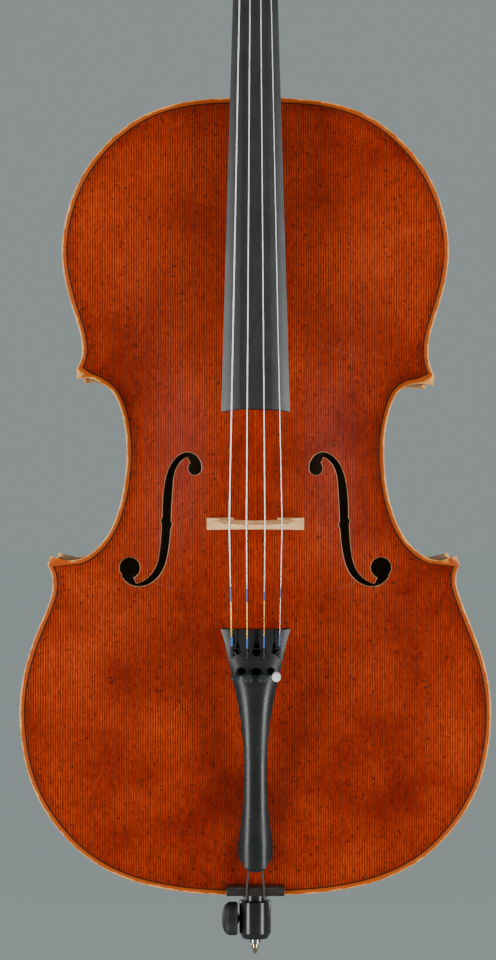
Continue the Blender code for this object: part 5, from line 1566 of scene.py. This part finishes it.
saddle = {"half": 0.0272, "low": 0.0505, "high": 0.0600, "y": -0.0745}
loop = [(-0.0593, saddle["low"]), (-0.0715, saddle["low"])]
saddleFront = (
    (saddle["y"] + 0.0008, 0.0524), (saddle["y"], 0.0535), (saddle["y"], 0.0560), (-0.0735, 0.0580),
    (-0.0700, saddle["high"]),
)
loop += [tuple(p) for p in evenCurve(saddleFront, 16)]
loop.append((-0.0593, saddle["high"]))
bm = bmesh.new()
addSlab(bm, loop, -saddle["half"], saddle["half"], fromTail, bevel=0.0003)
asPiece("saddleEbony", bm, ("pegEbony",), stands=("saddle",))

cord = {"radius": 0.0009, "loopZ": 0.0440, "loopRadius": 0.0124}
overSaddle = saddle["y"] - cord["radius"] - gap
half = [
    tailFrame @ Vector((0.0068, 0.0032, -tail["length"] + 0.020)),
    tailFrame @ Vector((0.0068, 0.0032, -tail["length"] - 0.004)),
    Vector((0.0080, overSaddle - 0.0004, 0.0600)), Vector((0.0082, overSaddle - 0.0002, 0.0545)),
    Vector((0.0084, overSaddle + 0.0006, 0.0520)), Vector((0.0086, -0.0728, 0.0487)), Vector((0.0090, -0.0690, 0.0476)),
    Vector((0.0120, -0.0300, 0.0455)), Vector((cord["loopRadius"] + 0.0004, -0.0060, cord["loopZ"] + 0.0003)),
]
turns = [
    Vector((cord["loopRadius"] * math.cos(a), cord["loopRadius"] * math.sin(a), cord["loopZ"]))
    for a in np.linspace(0, math.pi, 31)
]
bm = bmesh.new()
addTube(bm, half + turns + [Vector((-p.x, p.y, p.z)) for p in half[::-1]], cord["radius"], 14)
asPiece("tailWire", bm, ("tailCord",), stands=("tail_wire",), sharp=60)

endpin = {
    "collar": 0.01525, "face": 0.0120, "top": 0.0364, "rod": 0.0053, "rodTop": 0.470, "screwZ": 0.0187, "knurls": 60,
}
r, face, bore = endpin["collar"], endpin["face"], endpin["rod"] + gap
profile = [
    (bore, 0.0008), (bore + 0.0004, 0), (face, 0), (face + 0.0003, 0.0002), (r - 0.0003, 0.0050), (r, 0.0056),
    (r, endpin["top"] - 0.0012), (r - 0.0003, endpin["top"] - 0.0004), (r - 0.0010, endpin["top"]),
    (0.0112, endpin["top"]),
    (0.0110, endpin["top"] + 0.0003), (0.0110, 0.0505), (0.0113, 0.0508), (0.0142, 0.0512), (0.0145, 0.0515),
    (0.0145, 0.0534), (0.0142, 0.0537), (0.0130, 0.0540), (0.0120, 0.092), (bore, 0.092), (bore, 0.0008),
]
bm = bmesh.new()
addTurned(bm, profile, 96)
collarPiece = asPiece("endpinCollar", bm, ("fittingBlack",), stands=("endpin_collar",), sharp=25)
bm = bmesh.new()
bmesh.ops.create_cone(bm, cap_ends=True, segments=32, radius1=0.0033, radius2=0.0033, depth=0.012)
sideways = Matrix.Translation((-0.0130, 0, endpin["screwZ"])) @ Matrix.Rotation(math.pi / 2, 4, "Y")
bmesh.ops.transform(bm, verts=bm.verts, matrix=sideways)
carve(collarPiece, [asPiece("threadTool", bm, (), rides=None)], sharp=25)

rod = endpin["rod"]
bm = bmesh.new()
profile = (
    (0, endpin["rodTop"]), (rod - 0.001, endpin["rodTop"]), (rod, endpin["rodTop"] - 0.001), (rod, -0.0043),
    (rod - 0.0006, -0.0048), (0, -0.0048),
)
addTurned(bm, profile, 48)
asPiece("endpinRod", bm, ("rodSteel",), stands=("endpin_rod",), rides="endpin_rod")
bm = bmesh.new()
profile = (
    (0, -0.0051), (0.0034, -0.0051), (0.0036, -0.0054), (0.0036, -0.0092), (0.0033, -0.0098), (0.0012, -0.0148),
    (0.0006, -0.01515), (0, -0.0152),
)
addTurned(bm, profile, 40)
asPiece("endpinTip", bm, ("tipBrass",), stands=("endpin_tip",), rides="endpin_rod")

bm = bmesh.new()
profile = (
    (0, 0.0320), (0.0050, 0.0319), (0.0085, 0.0313), (0.0120, 0.0299), (0.0143, 0.0279), (0.0157, 0.0258),
    (0.0160, 0.0250), (0.0160, 0.0190), (0.0156, 0.0178), (0.0148, 0.0170), (0.0138, 0.0168), (0.0052, 0.0168),
    (0.0050, 0.0166), (0.0050, 0.0157), (0.0030, 0.0157), (0.0030, 0.0058), (0, 0.0056),
)
addTurned(bm, profile, 4 * endpin["knurls"])
for vert in bm.verts:
    radius = math.hypot(vert.co.x, vert.co.y)
    if radius > 0.0140:
        wave = abs(math.sin(endpin["knurls"] / 2 * math.atan2(vert.co.y, vert.co.x)))
        share = 1 - 0.030 * (1 - wave)
        vert.co.x *= share
        vert.co.y *= share
toSide = Matrix.Translation((0, 0, endpin["screwZ"])) @ Matrix.Rotation(-math.pi / 2, 4, "Y")
bmesh.ops.transform(bm, verts=bm.verts, matrix=toSide)
asPiece(
    "thumbscrewKnurled", bm, ("gripBlack",), stands=("endpin_thumbscrew",), rides="thumbscrew",
    sharp=30,
)
print("endpin fitted")

# pieces kept from the frame

carriedOver = {
    "insideSpruce": (
        "top_block", "bottom_block", "corner_block_upper_bass", "corner_block_upper_treble",
        "corner_block_lower_bass", "corner_block_lower_treble", "bass_bar", "sound_post",
        *(f"lining_{face}_{where}_{side}" for face in ("front", "back") for where in ("upper", "c", "lower")
          for side in ("bass", "treble")),
    ),
    "leverSteel": ("tuner_axle",),
}
for finishName, names in carriedOver.items():
    for name in names:
        part = bpy.data.objects[name]
        part.data.materials.clear()
        part.data.materials.append(finishes[finishName])


# floor, light and camera

studio = {
    "floorRadius": 30.0, "floorZ": -0.385, "world": 0.30, "worldTint": (0.88, 1.0, 1.0),
    "softboxes": (   # x, y, height of the middle, width, height, power
        (-2.0, -1.5, 0.1, 0.65, 3.4, 82), (2.0, -1.5, 0.1, 0.65, 3.4, 82), (-2.2, 2.0, 0.9, 1.2, 1.8, 30),
        (2.2, 2.0, 0.9, 1.2, 1.8, 30),
    ),
    "top": (0, -0.6, 3.2, 1.6, 16),
}
bm = bmesh.new()
bmesh.ops.create_circle(bm, cap_ends=True, segments=96, radius=studio["floorRadius"])
bmesh.ops.translate(bm, vec=(0, 0, studio["floorZ"]), verts=bm.verts)
floor = asPiece("floor", bm, ("studioFloor",), rides=None)
floor.visible_glossy = False    # the instrument hangs clear of the floor, with room for the drawn endpin
floor.visible_shadow = False

world = bpy.data.worlds.new("studioAir")
bpy.context.scene.world = world
world.use_nodes = True
air = world.node_tree.nodes["Background"]
air.inputs["Color"].default_value = (*studio["worldTint"], 1)
air.inputs["Strength"].default_value = studio["world"]


def addSoftbox(name, place, aim, width, height, power):
    lamp = bpy.data.lights.new(name, "AREA")
    lamp.shape = "RECTANGLE"
    lamp.size, lamp.size_y, lamp.energy = width, height, power
    holder = bpy.data.objects.new(name, lamp)
    bpy.context.scene.collection.objects.link(holder)
    holder.location = place
    holder.rotation_euler = (Vector(aim) - Vector(place)).to_track_quat("-Z", "Y").to_euler()


for index, (x, y, middle, width, height, power) in enumerate(studio["softboxes"]):
    addSoftbox(f"softbox{index}", (x, y, middle), (0, 0, middle), width, height, power)
x, y, z, size, power = studio["top"]
addSoftbox("topLight", (x, y, z), (0, 0, 0.5), size, size, power)

view = {"place": (-0.0069, -2.764, 0.441), "lens": 107.6, "sensor": 36, "furthest": 100}
lens = bpy.data.cameras.new("frontView")
lens.lens, lens.sensor_width, lens.clip_end = view["lens"], view["sensor"], view["furthest"]
camera = bpy.data.objects.new("frontView", lens)
bpy.context.scene.collection.objects.link(camera)
camera.location = view["place"]
camera.rotation_euler = (math.pi / 2, 0, 0)
bpy.context.scene.camera = camera
